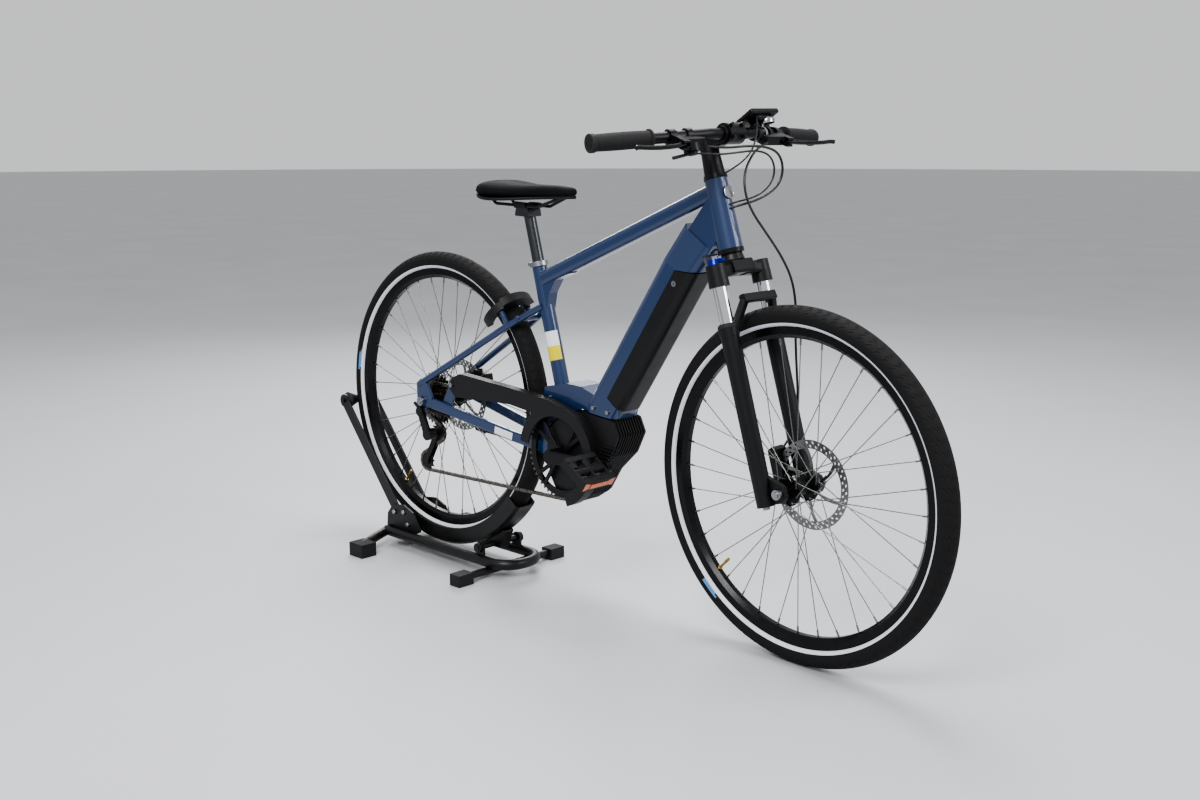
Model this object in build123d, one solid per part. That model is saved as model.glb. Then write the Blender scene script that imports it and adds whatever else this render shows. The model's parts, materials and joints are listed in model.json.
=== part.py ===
"""City electric bicycle with a sprung fork, standing in a folding rear-wheel floor stand.

The bicycle is drawn level, in millimetres: X forward, Y to the rider's left, Z up, with the
point of the floor under the rear axle at the origin. The front end is drawn in the steering
frame: its Z is the steering axis, from the bottom of the head tube, and its X points forward.
Each piece is then put on the stand, which lifts the rear wheel, and moved to the row's origin:
the middle of the whole footprint, on the floor.
"""
from build123d import *
from functools import cache
from math import acos, atan2, cos, degrees, hypot, pi, radians, sin, sqrt
import os

# ---- driving dimensions of the bicycle ----------------------------------------------------
WHEELBASE = 1071.0
TYRE_RADIUS = 358.0          # 47-622 tyre
TYRE_WIDTH = 46.0
TYRE_WALL = 3.5
RIM_RADIUS = 317.0           # over the rim's edges
RIM_INNER_RADIUS = 295.0
RIM_WIDTH = 27.0
SPOKES = 36
SPOKE_RADIUS = 1.0
HEAD_ANGLE = 71.3            # of the steering axis, from level
HEAD_LENGTH = 159.0          # head tube with both cups
RAKE = 45.5                  # front axle ahead of the steering axis
FORK_LENGTH = 477.5          # front axle below the head tube, along the steering axis
LEG_SPACING = 64.0           # each fork leg from the middle
STANCHION_RADIUS = 14.0
STEERER_RADIUS = 14.3
BAR_HALF_LENGTH = 322.0
BAR_RADIUS = 11.1
BAR_CLAMP_RADIUS = 15.9
BAR_SWEEP = 59.0             # how far back each end of the bar comes
STEM_LENGTH = 62.0
STEM_HEIGHT = 224.0          # bar clamp above the bottom of the head tube
SEAT_ANGLE = 72.7
SEAT_TUBE_RADIUS = 17.0
SEATPOST_RADIUS = 13.6
SEATPOST_SHOWN = 112.0
CRANK_LENGTH = 170.0
CRANK_TILT = 4.0             # right crank above level at rest
PEDAL_TILT = -32.0
RING_TEETH = 50
COG_TEETH = 21
CHAIN_PITCH = 12.7
CHAIN_Y = -44.0
CHAIN_WIDTH = 6.0
CHAIN_HEIGHT = 7.6
GUARD_Y = (-64.0, -61.0)     # both faces of the chain guard's plate
FRONT_HUB_WIDTH = 100.0
REAR_HUB_WIDTH = 135.0
ROTOR_RADIUS = 90.0
AXLE_RADIUS = 6.0
SPINDLE_RADIUS = 10.0
DOWN_TUBE_WIDTH = 76.0
DOWN_TUBE_DEPTH = 88.0
# ---- driving dimensions of the stand ------------------------------------------------------
REAR_LIFT = 39.7             # how far the stand lifts the rear axle
STAND_TUBE_RADIUS = 12.5
STAND_HALF_WIDTH = 62.0
STAND_ARM_Y = 45.0
FOOT_HEIGHT = 8.0
# ---- how the movable pieces are set -------------------------------------------------------
STEER_REST = -2.92           # degrees, to the right
# ---- clearances ---------------------------------------------------------------------------
RUN = 0.05                   # radial, shaft in its bearing
SEAT = 0.1                   # between pieces of one body
GAP = 0.3                    # between pieces that move past each other

# ---- places worked out from them ----------------------------------------------------------
HEAD_UP = Vector(-cos(radians(HEAD_ANGLE)), 0, sin(radians(HEAD_ANGLE)))
HEAD_FORWARD = Vector(sin(radians(HEAD_ANGLE)), 0, cos(radians(HEAD_ANGLE)))
FRONT_AXLE = Vector(WHEELBASE, 0, TYRE_RADIUS)
HEAD_BASE = FRONT_AXLE - HEAD_FORWARD * RAKE + HEAD_UP * FORK_LENGTH
STEERING = Plane(origin=HEAD_BASE, x_dir=HEAD_FORWARD, z_dir=HEAD_UP).location * Rotation(0, 0, STEER_REST)
NOSE_DOWN = degrees(atan2(REAR_LIFT, WHEELBASE))
ON_STAND_X = WHEELBASE + TYRE_RADIUS * sin(radians(NOSE_DOWN))
ON_STAND = (Location((ON_STAND_X, 0, TYRE_RADIUS)) * Rotation(0, NOSE_DOWN, 0)
            * Location((-WHEELBASE, 0, -TYRE_RADIUS)))
REAR_AXLE = Vector(0, 0, TYRE_RADIUS)
WHEEL_ON_STAND = (ON_STAND * Location(REAR_AXLE)).position
ROLLER_WAIST = 10.0
ROLLER_RADIUS = 21.0
ROLLER_LOW = 52.0            # roller below the rear axle
ROLLER_X = WHEEL_ON_STAND.X - sqrt((TYRE_RADIUS + ROLLER_WAIST + GAP) ** 2 - ROLLER_LOW ** 2)
ROLLER = Vector(ROLLER_X, 0, WHEEL_ON_STAND.Z - ROLLER_LOW)
FRONT_END = ON_STAND_X + TYRE_RADIUS
REAR_END = ROLLER.X - ROLLER_RADIUS
TO_ORIGIN = Location((-(FRONT_END + REAR_END) / 2, 0, 0))
BIKE = TO_ORIGIN * ON_STAND
FRONT = BIKE * STEERING
BB = Vector(453, 0, 309)
RING_RADIUS = CHAIN_PITCH / 2 / sin(pi / RING_TEETH)
COG_RADIUS = CHAIN_PITCH / 2 / sin(pi / COG_TEETH)
SEAT_UP = Vector(-cos(radians(SEAT_ANGLE)), 0, sin(radians(SEAT_ANGLE)))
SEAT_TOP = Vector(322, 0, 725)


# ---- helpers ------------------------------------------------------------------------------
def solids(*items):
    """Every solid in the given shapes and lists of shapes."""
    found = []
    for item in items:
        if isinstance(item, Solid):
            found.append(item)
        elif isinstance(item, (list, tuple)):
            found += solids(*item)
        else:
            found += list(item.solids())
    return found


def fuse(*items):
    first, *others = solids(*items)
    return solids(first.fuse(*others)) if others else [first]


def cut(base, *tools):
    return [piece for solid in solids(base) for piece in solids(solid.cut(*solids(*tools)))]


def moved(items, place):
    return [solid.moved(place) for solid in solids(items)]


def both_sides(items):
    """The pieces and their mirror images on the other side of the bicycle."""
    return solids(items) + [solid.mirror(Plane.XZ) for solid in solids(items)]


def rod(start, end, radius, end_radius=None):
    run = Vector(*end) - Vector(*start)
    plane = Plane(origin=start, z_dir=run)
    if end_radius is None:
        return Solid.make_cylinder(radius, run.length, plane)
    return Solid.make_cone(radius, end_radius, run.length, plane)


def pipe(start, end, radius, bore):
    return cut(rod(start, end, radius), rod(start, end, bore))[0]


def across(x, z, y0, y1, radius):
    """A round bar along Y."""
    return rod((x, y0, z), (x, y1, z), radius)


def slab(outline, y0, y1, corner=0.0):
    """A plate in the XZ plane, from its outline's (x, z) corners, between two Y values."""
    points = [(x, y0, z) for x, z in outline]
    wire = FilletPolyline(*points, radius=corner, close=True) if corner else Polyline(*points, close=True)
    return Solid.extrude(Face(Wire(wire.edges())), Vector(0, y1 - y0, 0))


def bar(start, end, width, height, corner, end_width=None, end_height=None, side=(0, 1, 0)):
    """A tube of rounded rectangular section; its width lies along its side direction."""
    run = Vector(*end) - Vector(*start)
    side = Vector(*side)
    low = Plane(origin=start, x_dir=side - run.normalized() * side.dot(run.normalized()), z_dir=run)
    high = Plane(origin=end, x_dir=low.x_dir, z_dir=run)
    first = low * RectangleRounded(width, height, corner)
    last = high * RectangleRounded(end_width or width, end_height or height, corner)
    return solids(loft([first, last]))[0]


def tube_along(points, radius, bends):
    """A round bar along straight runs joined by arcs."""
    path = FilletPolyline(*points, radius=bends)
    return solids(sweep(Plane(origin=path @ 0, z_dir=path % 0) * Circle(radius), path=path))[0]


def turned(profile, axis=Axis.Y, angle=360):
    """A ring about the Y axis, from its section's (radius, y) corners."""
    return solids(revolve(make_face(Polyline(*profile, close=True)), axis, angle))[0]


def arc_bends(points):
    """The radius of each bend of a hose: 0.45 of the shorter run over the tangent of half the turn."""
    bends = []
    for before, here, after in zip(points, points[1:], points[2:]):
        into, away = Vector(*here) - Vector(*before), Vector(*after) - Vector(*here)
        turn = radians(into.get_angle(away))
        bends.append(0.45 * min(into.length, away.length) / (sin(turn / 2) / cos(turn / 2)))
    return bends


def hose(name, points, radius):
    bends = arc_bends(points)
    print(name, "bend radii", [round(bend) for bend in bends])
    return [tube_along(points, radius, bends)]


# ---- wheels, drawn about the Y axis -------------------------------------------------------
BEAD_HALF = 12.0


def tyre():
    """A tyre's casing: two beads inside the rim's edges and a round tread."""
    half = TYRE_WIDTH / 2
    bead = RIM_RADIUS - 5
    widest = (TYRE_RADIUS + RIM_RADIUS) / 2
    lines = []
    for wall, flip in ((0.0, 1), (0.0, -1), (TYRE_WALL, -1), (TYRE_WALL, 1)):
        foot = (bead, flip * (BEAD_HALF - wall))
        lip = (RIM_RADIUS + 0.6 + wall, flip * (BEAD_HALF - wall))
        side = (widest, flip * (half - wall))
        low_mid = (RIM_RADIUS + 8 + wall * 0.4, flip * (half - 2.5 - wall))
        high_mid = (TYRE_RADIUS - 6.4 - wall * 0.8, flip * (half * 0.66 - wall * 0.6))
        crown = (TYRE_RADIUS - wall, 0)
        lines += [Line(foot, lip), ThreePointArc(lip, low_mid, side), ThreePointArc(side, high_mid, crown)]
    lines += [Line((bead, flip * BEAD_HALF), (bead, flip * (BEAD_HALF - TYRE_WALL))) for flip in (1, -1)]
    return solids(revolve(make_face(Wire(Curve(lines).edges())), Axis.Y, 360))[:1]


def rim():
    half, edge = RIM_WIDTH / 2, BEAD_HALF + SEAT
    bed = RIM_RADIUS - 5 - SEAT
    section = [(RIM_INNER_RADIUS, -6), (RIM_INNER_RADIUS, 6), (RIM_INNER_RADIUS + 8, half), (RIM_RADIUS, half),
               (RIM_RADIUS, edge), (bed, edge), (bed, -edge), (RIM_RADIUS, -edge), (RIM_RADIUS, -half),
               (RIM_INNER_RADIUS + 8, -half)]
    inside = [(RIM_INNER_RADIUS + 2, -5), (RIM_INNER_RADIUS + 2, 5), (RIM_INNER_RADIUS + 9, half - 2),
              (bed - 2, half - 2), (bed - 2, 2 - half), (RIM_INNER_RADIUS + 9, 2 - half)]
    return cut(turned(section), turned(inside))


def spokes(right_y, left_y, flange_radius, phase):
    """Spokes laced three-cross, each with its nipple, from the hub's flanges to the rim."""
    pieces = []
    step = 360 / SPOKES
    for number in range(SPOKES):
        flange_y = right_y if number % 2 else left_y
        lean = 1 if number % 4 < 2 else -1
        rim_turn = radians(phase + number * step)
        hub_turn = rim_turn + lean * radians(6.5 * step)
        outside = 0.06 * abs(flange_y) if lean * flange_y > 0 else 0.0
        side = flange_y + lean * (1.5 + SPOKE_RADIUS + SEAT + outside)
        hub = Vector(flange_radius * cos(hub_turn), side, flange_radius * sin(hub_turn))
        seat = Vector((RIM_INNER_RADIUS - 0.6) * cos(rim_turn), 0, (RIM_INNER_RADIUS - 0.6) * sin(rim_turn))
        nipple = seat + (hub - seat).normalized() * 13
        head = rod((hub.X, flange_y + lean * (1.5 + SEAT), hub.Z), (hub.X, side + lean * SPOKE_RADIUS, hub.Z), 2.0)
        pieces += fuse(rod(hub, nipple, SPOKE_RADIUS), rod(nipple, seat, 2.0), head)
    return pieces


def rotor(y0, boss):
    """A disc: braking ring, six curved-back arms and its centre, 1.8 thick."""
    thick = 1.8
    ring = cut(across(0, 0, y0, y0 + thick, ROTOR_RADIUS), across(0, 0, y0, y0 + thick, ROTOR_RADIUS - 16))
    centre = across(0, 0, y0, y0 + thick, 24)
    arms = []
    for number in range(6):
        turn, out = radians(60 * number), radians(60 * number + 24)
        start = Vector(18 * cos(turn), y0 + thick / 2, 18 * sin(turn))
        end = Vector((ROTOR_RADIUS - 10) * cos(out), y0 + thick / 2, (ROTOR_RADIUS - 10) * sin(out))
        run = end - start
        plane = Plane(origin=start, x_dir=(0, 1, 0), z_dir=run)
        arms += solids(extrude(plane * Rectangle(thick, 9), run.length))
    return cut(fuse(ring, centre, arms), across(0, 0, y0, y0 + thick, boss + SEAT))


ROTOR_BOSS = 13.0
FRONT_FLANGES = (-33.0, 24.0)
REAR_FLANGES = (-20.0, 34.0)
FRONT_ROTOR_Y = 36.0
REAR_ROTOR_Y = 49.6
FLANGE_RADIUS = 29.0
SPOKE_CIRCLE = 24.5


def hub(flanges, rotor_y, right_end, left_end):
    """A hub shell turned about the axle, with its two flanges, rotor seat and end caps."""
    right, left = flanges
    bore = AXLE_RADIUS + RUN
    shell = [across(0, 0, right, left, 15), across(0, 0, right - 1.5, right + 1.5, FLANGE_RADIUS),
             across(0, 0, left - 1.5, left + 1.5, FLANGE_RADIUS), across(0, 0, left, rotor_y - SEAT, 20),
             across(0, 0, rotor_y - 1, rotor_y + 4, ROTOR_BOSS), across(0, 0, right_end, left_end, 9.5)]
    return cut(fuse(shell), across(0, 0, right_end - 1, left_end + 1, bore))


COG_RADII = (64.0, 57.0, 49.5, COG_RADIUS - 4.1, 33.0, 29.0, 25.5, 22.0)
COG_STEP = 4.6
FREEHUB_RIGHT = -63.5
FREEHUB_LEFT = -24.0


def cassette():
    """Eight cogs on the freehub body; the chain runs on the fourth."""
    first = CHAIN_Y + 3 * COG_STEP
    cogs = [across(0, 0, first - n * COG_STEP - 1, first - n * COG_STEP + 1, radius)
            for n, radius in enumerate(COG_RADII)]
    body = across(0, 0, FREEHUB_RIGHT, FREEHUB_LEFT, 17.5)
    return cut(fuse(body, cogs), across(0, 0, FREEHUB_RIGHT - 1, FREEHUB_LEFT + 1, AXLE_RADIUS + RUN))


# ---- frame --------------------------------------------------------------------------------
DOWN_LOW = Vector(550, 0, 407)
DOWN_HIGH = Vector(800, 0, 820)
DOWN_RUN = (DOWN_HIGH - DOWN_LOW).normalized()
DOWN_ACROSS = Vector(DOWN_RUN.Z, 0, -DOWN_RUN.X)         # from the tube's middle towards its underside
TOP_TUBE_DEPTH = 34.0
TOP_TUBE_WIDTH = 38.0
HEAD_RADIUS_TOP = 23.0
HEAD_RADIUS_LOW = 26.0
CUP_HEIGHT = 9.0
BATTERY_DEPTH = 43.0
BATTERY_START = 62.0         # battery's lower end, along the down tube from its foot
BATTERY_END = 405.0
MOTOR_Y = (-38.0, 52.0)
MOTOR_OUTLINE = [(398, 300), (402, 362), (440, 396), (505, 419), (604, 414), (622, 380), (600, 330),
                 (552, 280), (520, 225), (484, 200), (440, 206), (410, 250)]
MOTOR_BRIDGE = [(374, 296), (396, 296), (400, 363), (439, 398), (505, 421), (606, 416), (612, 440), (560, 452),
                (500, 470), (455, 470), (385, 452), (376, 400)]


def head_point(x, z):
    """A point of the frame, from its place in the steering frame."""
    return HEAD_BASE + HEAD_FORWARD * x + HEAD_UP * z


def down_point(along, out, y=0.0):
    """A point of the down tube: along it from its foot, and out towards its underside."""
    place = DOWN_LOW + DOWN_RUN * along + DOWN_ACROSS * out
    return Vector(place.X, y, place.Z)


def battery_space(grow):
    """The battery's room in the down tube's underside."""
    low, high = BATTERY_START - grow, BATTERY_END + grow
    inner = DOWN_TUBE_DEPTH / 2 - BATTERY_DEPTH - grow
    outer = DOWN_TUBE_DEPTH / 2 + 3.0
    corners = [down_point(low, inner), down_point(low - 4, outer), down_point(high + 26, outer),
               down_point(high, inner)]
    half = DOWN_TUBE_WIDTH / 2 + 2 + grow
    return slab([(p.X, p.Z) for p in corners], -half, half)


@cache
def frame_tubes():
    """Head tube, down tube, top tube, seat tube, their gusset and the motor's bridge, welded."""
    seat_foot = SEAT_TOP - SEAT_UP * 298
    head = rod(head_point(0, CUP_HEIGHT), head_point(0, HEAD_LENGTH - CUP_HEIGHT), HEAD_RADIUS_LOW, HEAD_RADIUS_TOP)
    neck_low, neck_high = head_point(-6, 34), head_point(-4, HEAD_LENGTH - 38)
    neck = slab([(down_point(BATTERY_END - 50, -DOWN_TUBE_DEPTH / 2 + 6).X, down_point(BATTERY_END - 50, -38).Z),
                 (neck_high.X, neck_high.Z), (head_point(4, 110).X, head_point(4, 110).Z),
                 (neck_low.X, neck_low.Z), (down_point(BATTERY_END, 36).X, down_point(BATTERY_END, 36).Z)],
                -22, 22, 8)
    down = [bar(DOWN_LOW, down_point(BATTERY_END, 0), DOWN_TUBE_WIDTH, DOWN_TUBE_DEPTH, 20),
            bar(down_point(BATTERY_END, 0), down_point(486, 0), DOWN_TUBE_WIDTH, DOWN_TUBE_DEPTH, 20, 50,
                DOWN_TUBE_DEPTH + 4)]
    top = bar((348, 0, 690), (836, 0, 917), TOP_TUBE_WIDTH, TOP_TUBE_DEPTH, 12)
    gusset = slab([(352, 700), (440, 712), (392, 694), (372, 660), (364, 610), (340, 610)], -13, 13)
    seat = rod(seat_foot, SEAT_TOP, SEAT_TUBE_RADIUS)
    bridge = slab(MOTOR_BRIDGE, -34, 34)
    hollow = bar(down_point(30, 0), down_point(BATTERY_END - 10, 0), DOWN_TUBE_WIDTH - 8, DOWN_TUBE_DEPTH - 8, 16)
    top_hollow = bar((372, 0, 701), (790, 0, 895.6), TOP_TUBE_WIDTH - 5, TOP_TUBE_DEPTH - 5, 9)
    bearing_room = rod(head_point(0, 0), head_point(0, HEAD_LENGTH), STEERER_RADIUS + 4)
    post_room = rod(SEAT_TOP - SEAT_UP * 250, SEAT_TOP + SEAT_UP, SEATPOST_RADIUS + RUN)
    motor_room = slab(MOTOR_OUTLINE, MOTOR_Y[0], MOTOR_Y[1])
    whole = fuse(head, neck, down, top, gusset, seat, bridge)
    cup_seats = [rod(head_point(0, -8), head_point(0, CUP_HEIGHT), 60),
                 rod(head_point(0, HEAD_LENGTH - CUP_HEIGHT), head_point(0, HEAD_LENGTH + 60), 60)]
    return cut(whole, hollow, top_hollow, bearing_room, post_room, motor_room, battery_space(0.5), cup_seats)


STAY_PATH = ((-4, -71.5, 361), (288, -44.5, 322), (350, -34, 314), (376, -31, 312))
SEAT_STAY_PATH = ((-14, -71, 398), (268, -37, 577), (352, -14, 628))
DROPOUT_OUTLINE = [(-20, 342), (-24, 400), (-6, 414), (14, 404), (34, 372), (30, 348), (0, 338)]


@cache
def rear_stays():
    """Chain stays, seat stays, dropouts, the bridge and the brackets that they carry."""
    stay_line = FilletPolyline(*STAY_PATH, radius=60)
    start = Plane(origin=stay_line @ 0, x_dir=(0, 1, 0), z_dir=stay_line % 0)
    chain_stay = solids(sweep(start * RectangleRounded(12, 25, 4), path=stay_line))
    seat_stay = tube_along(SEAT_STAY_PATH, 8, 60)
    inner = REAR_HUB_WIDTH / 2
    dropout = slab(DROPOUT_OUTLINE, -inner - 7, -inner, 6)
    arms = fuse(both_sides(fuse(chain_stay, seat_stay, dropout)))
    bridge = across(294, 593, -40, 40, 7)
    guard_tab = slab([(52, 350), (88, 350), (106, 404), (104, 424), (88, 424), (80, 404)], GUARD_Y[1] + SEAT, -55)
    hanger = slab([(-22, 346), (10, 346), (4, 322), (-14, 322)], -inner - 7, -inner)
    kick_plate = slab([(312, 326), (350, 322), (350, 272), (318, 272)], 36, 44)
    ear_end = LOCK_CENTRE + LOCK_OUT * 26 - LOCK_AXIS * 10.5 + Vector(0, -41, 0)
    lock_ears = both_sides(rod((262, -37, 575), ear_end, 6))
    whole = arms
    for piece in solids(bridge, guard_tab, hanger, kick_plate, lock_ears):
        whole = fuse(whole, piece)
    axle_slot = across(0, TYRE_RADIUS, -90, 90, AXLE_RADIUS + SEAT)
    hub_room = across(0, TYRE_RADIUS, -inner, inner, 30)
    nut_rooms = both_sides(across(0, TYRE_RADIUS, -90, -inner - 7, 12.5))
    seat_tube_room = rod(SEAT_TOP - SEAT_UP * 200, SEAT_TOP, SEAT_TUBE_RADIUS)
    return cut(whole, axle_slot, hub_room, nut_rooms, seat_tube_room)


def headset_cups():
    """Upper and lower bearing cups, with the steerer running in them."""
    lower = rod(head_point(0, 0), head_point(0, CUP_HEIGHT), HEAD_RADIUS_LOW, HEAD_RADIUS_LOW + 0.5)
    upper = rod(head_point(0, HEAD_LENGTH - CUP_HEIGHT), head_point(0, HEAD_LENGTH), HEAD_RADIUS_TOP + 1.5,
                HEAD_RADIUS_TOP)
    bore = rod(head_point(0, -1), head_point(0, HEAD_LENGTH + 1), STEERER_RADIUS + RUN)
    return cut([lower, upper], bore)


@cache
def motor_housing():
    """The motor's case, with the crank's bearing through it and ribs on its front and underside."""
    low, high = MOTOR_Y
    core = [(x + (505 - x) * 0.03, z + (310 - z) * 0.03) for x, z in MOTOR_OUTLINE]
    body = slab(core, low, high, 8)
    ribs = [slab(MOTOR_OUTLINE, y, y + 2.5, 8) for y in range(-30, 50, 8)]
    boss = across(BB.X, BB.Z, high - 1, high + 8, 26)
    room = slab([(x + (505 - x) * 0.2, z + (310 - z) * 0.2) for x, z in MOTOR_OUTLINE], low + 8, high - 8)
    bearing = across(BB.X, BB.Z, low, high, 24)
    spindle_room = across(BB.X, BB.Z, low - 1, high + 9, SPINDLE_RADIUS + RUN)
    return cut(fuse(body, ribs, boss), cut(room, bearing), spindle_room, frame_tubes())


def battery_case():
    """The battery, flush with the down tube's sides and proud of its underside."""
    low, high, inner = BATTERY_START, BATTERY_END, DOWN_TUBE_DEPTH / 2 - BATTERY_DEPTH
    outer = DOWN_TUBE_DEPTH / 2 + 2.5
    core = [down_point(low + 0.3, inner), down_point(low - 3, outer), down_point(high + 24, outer),
            down_point(high - 0.3, inner)]
    block = slab([(p.X, p.Z) for p in core], -DOWN_TUBE_WIDTH / 2, DOWN_TUBE_WIDTH / 2)
    round_tube = bar(down_point(0, 2.5), down_point(480, 2.5), DOWN_TUBE_WIDTH, DOWN_TUBE_DEPTH, 20)
    kept = solids(block.intersect(round_tube))
    return cut(kept, across(LOCK_BARREL.X, LOCK_BARREL.Z, -60, -20, 6 + RUN))


LOCK_BARREL = down_point(BATTERY_END - 24, 14)


def battery_lock():
    """The key barrel in the battery's right side."""
    face = -DOWN_TUBE_WIDTH / 2 - 0.5
    barrel = across(LOCK_BARREL.X, LOCK_BARREL.Z, face, -20 - GAP, 6)
    return cut(barrel, Solid.make_box(1.6, 4, 7, Plane((LOCK_BARREL.X - 0.8, face - 1, LOCK_BARREL.Z - 3.5))))


def frame_hardware():
    """Seat collar, the motor's six bolts and the chain guard's rear bolt."""
    top = SEAT_TOP - SEAT_UP * 12
    collar = pipe(top, SEAT_TOP - SEAT_UP, SEAT_TUBE_RADIUS + 4, SEAT_TUBE_RADIUS + SEAT)
    lug_at = SEAT_TOP - SEAT_UP * 6 - Vector(SEAT_TUBE_RADIUS + 6, 0, 3)
    collar = cut(fuse(collar, rod(lug_at - Vector(0, 9, 0), lug_at + Vector(0, 9, 0), 4.5)),
                 rod(top - SEAT_UP * 9, SEAT_TOP, SEAT_TUBE_RADIUS + SEAT))
    side = DOWN_TUBE_WIDTH / 2 + SEAT
    bolts = [across(x, z, y, y + 4, 4.5) for x, z, y in
             ((543, 431, -side - 4), (586, 428, -side - 4), (400, 430, -38 - SEAT),
              (543, 431, side), (586, 428, side), (400, 430, 34 + SEAT))]
    guard_bolt = across(96, 412, GUARD_Y[0] - SEAT - 5, GUARD_Y[0] - SEAT, 6)
    return collar + bolts + [guard_bolt]


# ---- ring lock: its ring straddles the rear tyre ------------------------------------------
LOCK_TURN = 47.0
LOCK_RING = 49.0
LOCK_OUT = Vector(cos(radians(LOCK_TURN)), 0, sin(radians(LOCK_TURN)))
LOCK_AXIS = Vector(-sin(radians(LOCK_TURN)), 0, cos(radians(LOCK_TURN)))
LOCK_CENTRE = REAR_AXLE + LOCK_OUT * 321
SHACKLE_RADIUS = 4.0


def lock_plane(angle=0.0):
    """The ring lock's plane: Z along its axis, X turned by an angle from straight out."""
    turn = radians(angle)
    x_dir = LOCK_OUT * cos(turn) + LOCK_AXIS.cross(LOCK_OUT) * sin(turn)
    return Plane(origin=LOCK_CENTRE, x_dir=x_dir, z_dir=LOCK_AXIS)


def lock_sector(r0, r1, low, high, start, end):
    """Part of a ring about the lock's axis, between two angles."""
    plane = lock_plane(start)
    face = make_face(Polyline((r0, 0, low), (r1, 0, low), (r1, 0, high), (r0, 0, high), close=True))
    ring = revolve(face, Axis.Z, end - start)
    return solids(ring.moved(plane.location))[0]


def ring_lock_case():
    """The horseshoe case, with the shackle's channel and the slot for its thumb lever."""
    ring = lock_sector(LOCK_RING - 7.5, LOCK_RING + 7.5, -10, 10, -124, 124)
    crown = lock_sector(LOCK_RING + 4, LOCK_RING + 19, -10, 10, -46, 46)
    channel = lock_sector(LOCK_RING - SHACKLE_RADIUS - GAP, LOCK_RING + SHACKLE_RADIUS + GAP,
                          -SHACKLE_RADIUS - GAP, SHACKLE_RADIUS + GAP, -126, 8)
    slot = lock_sector(LOCK_RING - 1.8, LOCK_RING + 1.8, 0, 12, -126, 2)
    return cut(fuse(ring, crown), channel, slot, rear_stays())


def lock_shackle():
    """The shackle, drawn back into the case, with its thumb lever."""
    plane = lock_plane(-119)
    face = Plane.XZ * Pos(LOCK_RING, 0) * Circle(SHACKLE_RADIUS)
    ring = solids(revolve(face, Axis.Z, 122).moved(plane.location))
    lever = lock_sector(LOCK_RING - 1.5, LOCK_RING + 1.5, 0, 13, -4, 0)
    thumb = lock_sector(LOCK_RING - 6, LOCK_RING + 6, 10 + GAP, 15, -10, 2)
    return fuse(ring, lever, thumb)


def rear_caliper():
    """Brake caliper over the rear rotor, on the left chain stay."""
    y = REAR_ROTOR_Y + 0.9
    body = slab([(46, 386), (92, 378), (100, 398), (96, 424), (58, 432), (48, 410)], y - 11, y + 15, 4)
    foot = slab([(50, 392), (96, 384), (96, 350), (50, 356)], y + 9, y + 15)
    rotor_slot = across(0, TYRE_RADIUS, y - 2.6, y + 2.6, ROTOR_RADIUS + 2)
    return cut(fuse(body, foot), rotor_slot, rear_stays())


def rear_axle():
    """Rear axle with its two nuts outside the dropouts and the freehub's lock nut."""
    out = REAR_HUB_WIDTH / 2 + 7
    end = out + 12
    shaft = across(0, TYRE_RADIUS, -end, end, AXLE_RADIUS)
    nuts = [across(0, TYRE_RADIUS, out + SEAT, end - 2, 11), across(0, TYRE_RADIUS, 2 - end, -out - SEAT, 11)]
    spacer = across(0, TYRE_RADIUS, -REAR_HUB_WIDTH / 2 + SEAT, FREEHUB_RIGHT - GAP, 10)
    return fuse(shaft, nuts, spacer)


# ---- chain, chain guard and derailleur ----------------------------------------------------
GUIDE_PULLEY = Vector(24, CHAIN_Y, 279)
TENSION_PULLEY = Vector(-18, CHAIN_Y, 200)
PULLEY_RADIUS = 22.5
CAGE_OUT_Y = -50.5
CAGE_IN_Y = -37.5
PULLEY_DISC = PULLEY_RADIUS - CHAIN_HEIGHT / 2 - GAP


def chain_loop(offset):
    """The chain's line at an offset: ring, tension pulley, guide pulley (bent back) and cog."""
    wheels = [(BB.X, BB.Z, RING_RADIUS, 1), (TENSION_PULLEY.X, TENSION_PULLEY.Z, PULLEY_RADIUS, 1),
              (GUIDE_PULLEY.X, GUIDE_PULLEY.Z, PULLEY_RADIUS, -1), (0, TYRE_RADIUS, COG_RADIUS, 1)]
    wheels = [(x, z, radius + side * offset, side) for x, z, radius, side in wheels]
    touches = []
    for (x0, z0, r0, s0), (x1, z1, r1, s1) in zip(wheels, wheels[1:] + wheels[:1]):
        far = hypot(x1 - x0, z1 - z0)
        heading = atan2(z1 - z0, x1 - x0)
        lean = acos((s0 * r0 - s1 * r1) / far)
        normal = heading + lean
        touches.append([(x0 + s0 * r0 * cos(normal), z0 + s0 * r0 * sin(normal)),
                        (x1 + s1 * r1 * cos(normal), z1 + s1 * r1 * sin(normal)), normal])
    edges = []
    for number, (x, z, radius, side) in enumerate(wheels):
        arrive, leave = touches[number - 1], touches[number]
        start, end = arrive[2], leave[2]
        sweep_by = (end - start) % (2 * pi) if side < 0 else -((start - end) % (2 * pi))
        middle = start + sweep_by / 2
        point = (x + side * radius * cos(middle), z + side * radius * sin(middle))
        corners = [(a, 0, b) for a, b in (arrive[1], point, leave[0])]
        edges.append(ThreePointArc(*corners))
        edges.append(Line((leave[0][0], 0, leave[0][1]), (leave[1][0], 0, leave[1][1])))
    return Wire([edge for shape in edges for edge in shape.edges()])


def chain():
    """The chain as a plain band that follows its wheels without touching them."""
    outer = Face(chain_loop(CHAIN_HEIGHT / 2))
    inner = Face(chain_loop(-CHAIN_HEIGHT / 2))
    low = CHAIN_Y - CHAIN_WIDTH / 2
    thick = Vector(0, CHAIN_WIDTH, 0)
    band = Solid.extrude(outer, thick).cut(Solid.extrude(inner, thick))
    return moved(band, Location((0, low, 0)))


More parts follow.
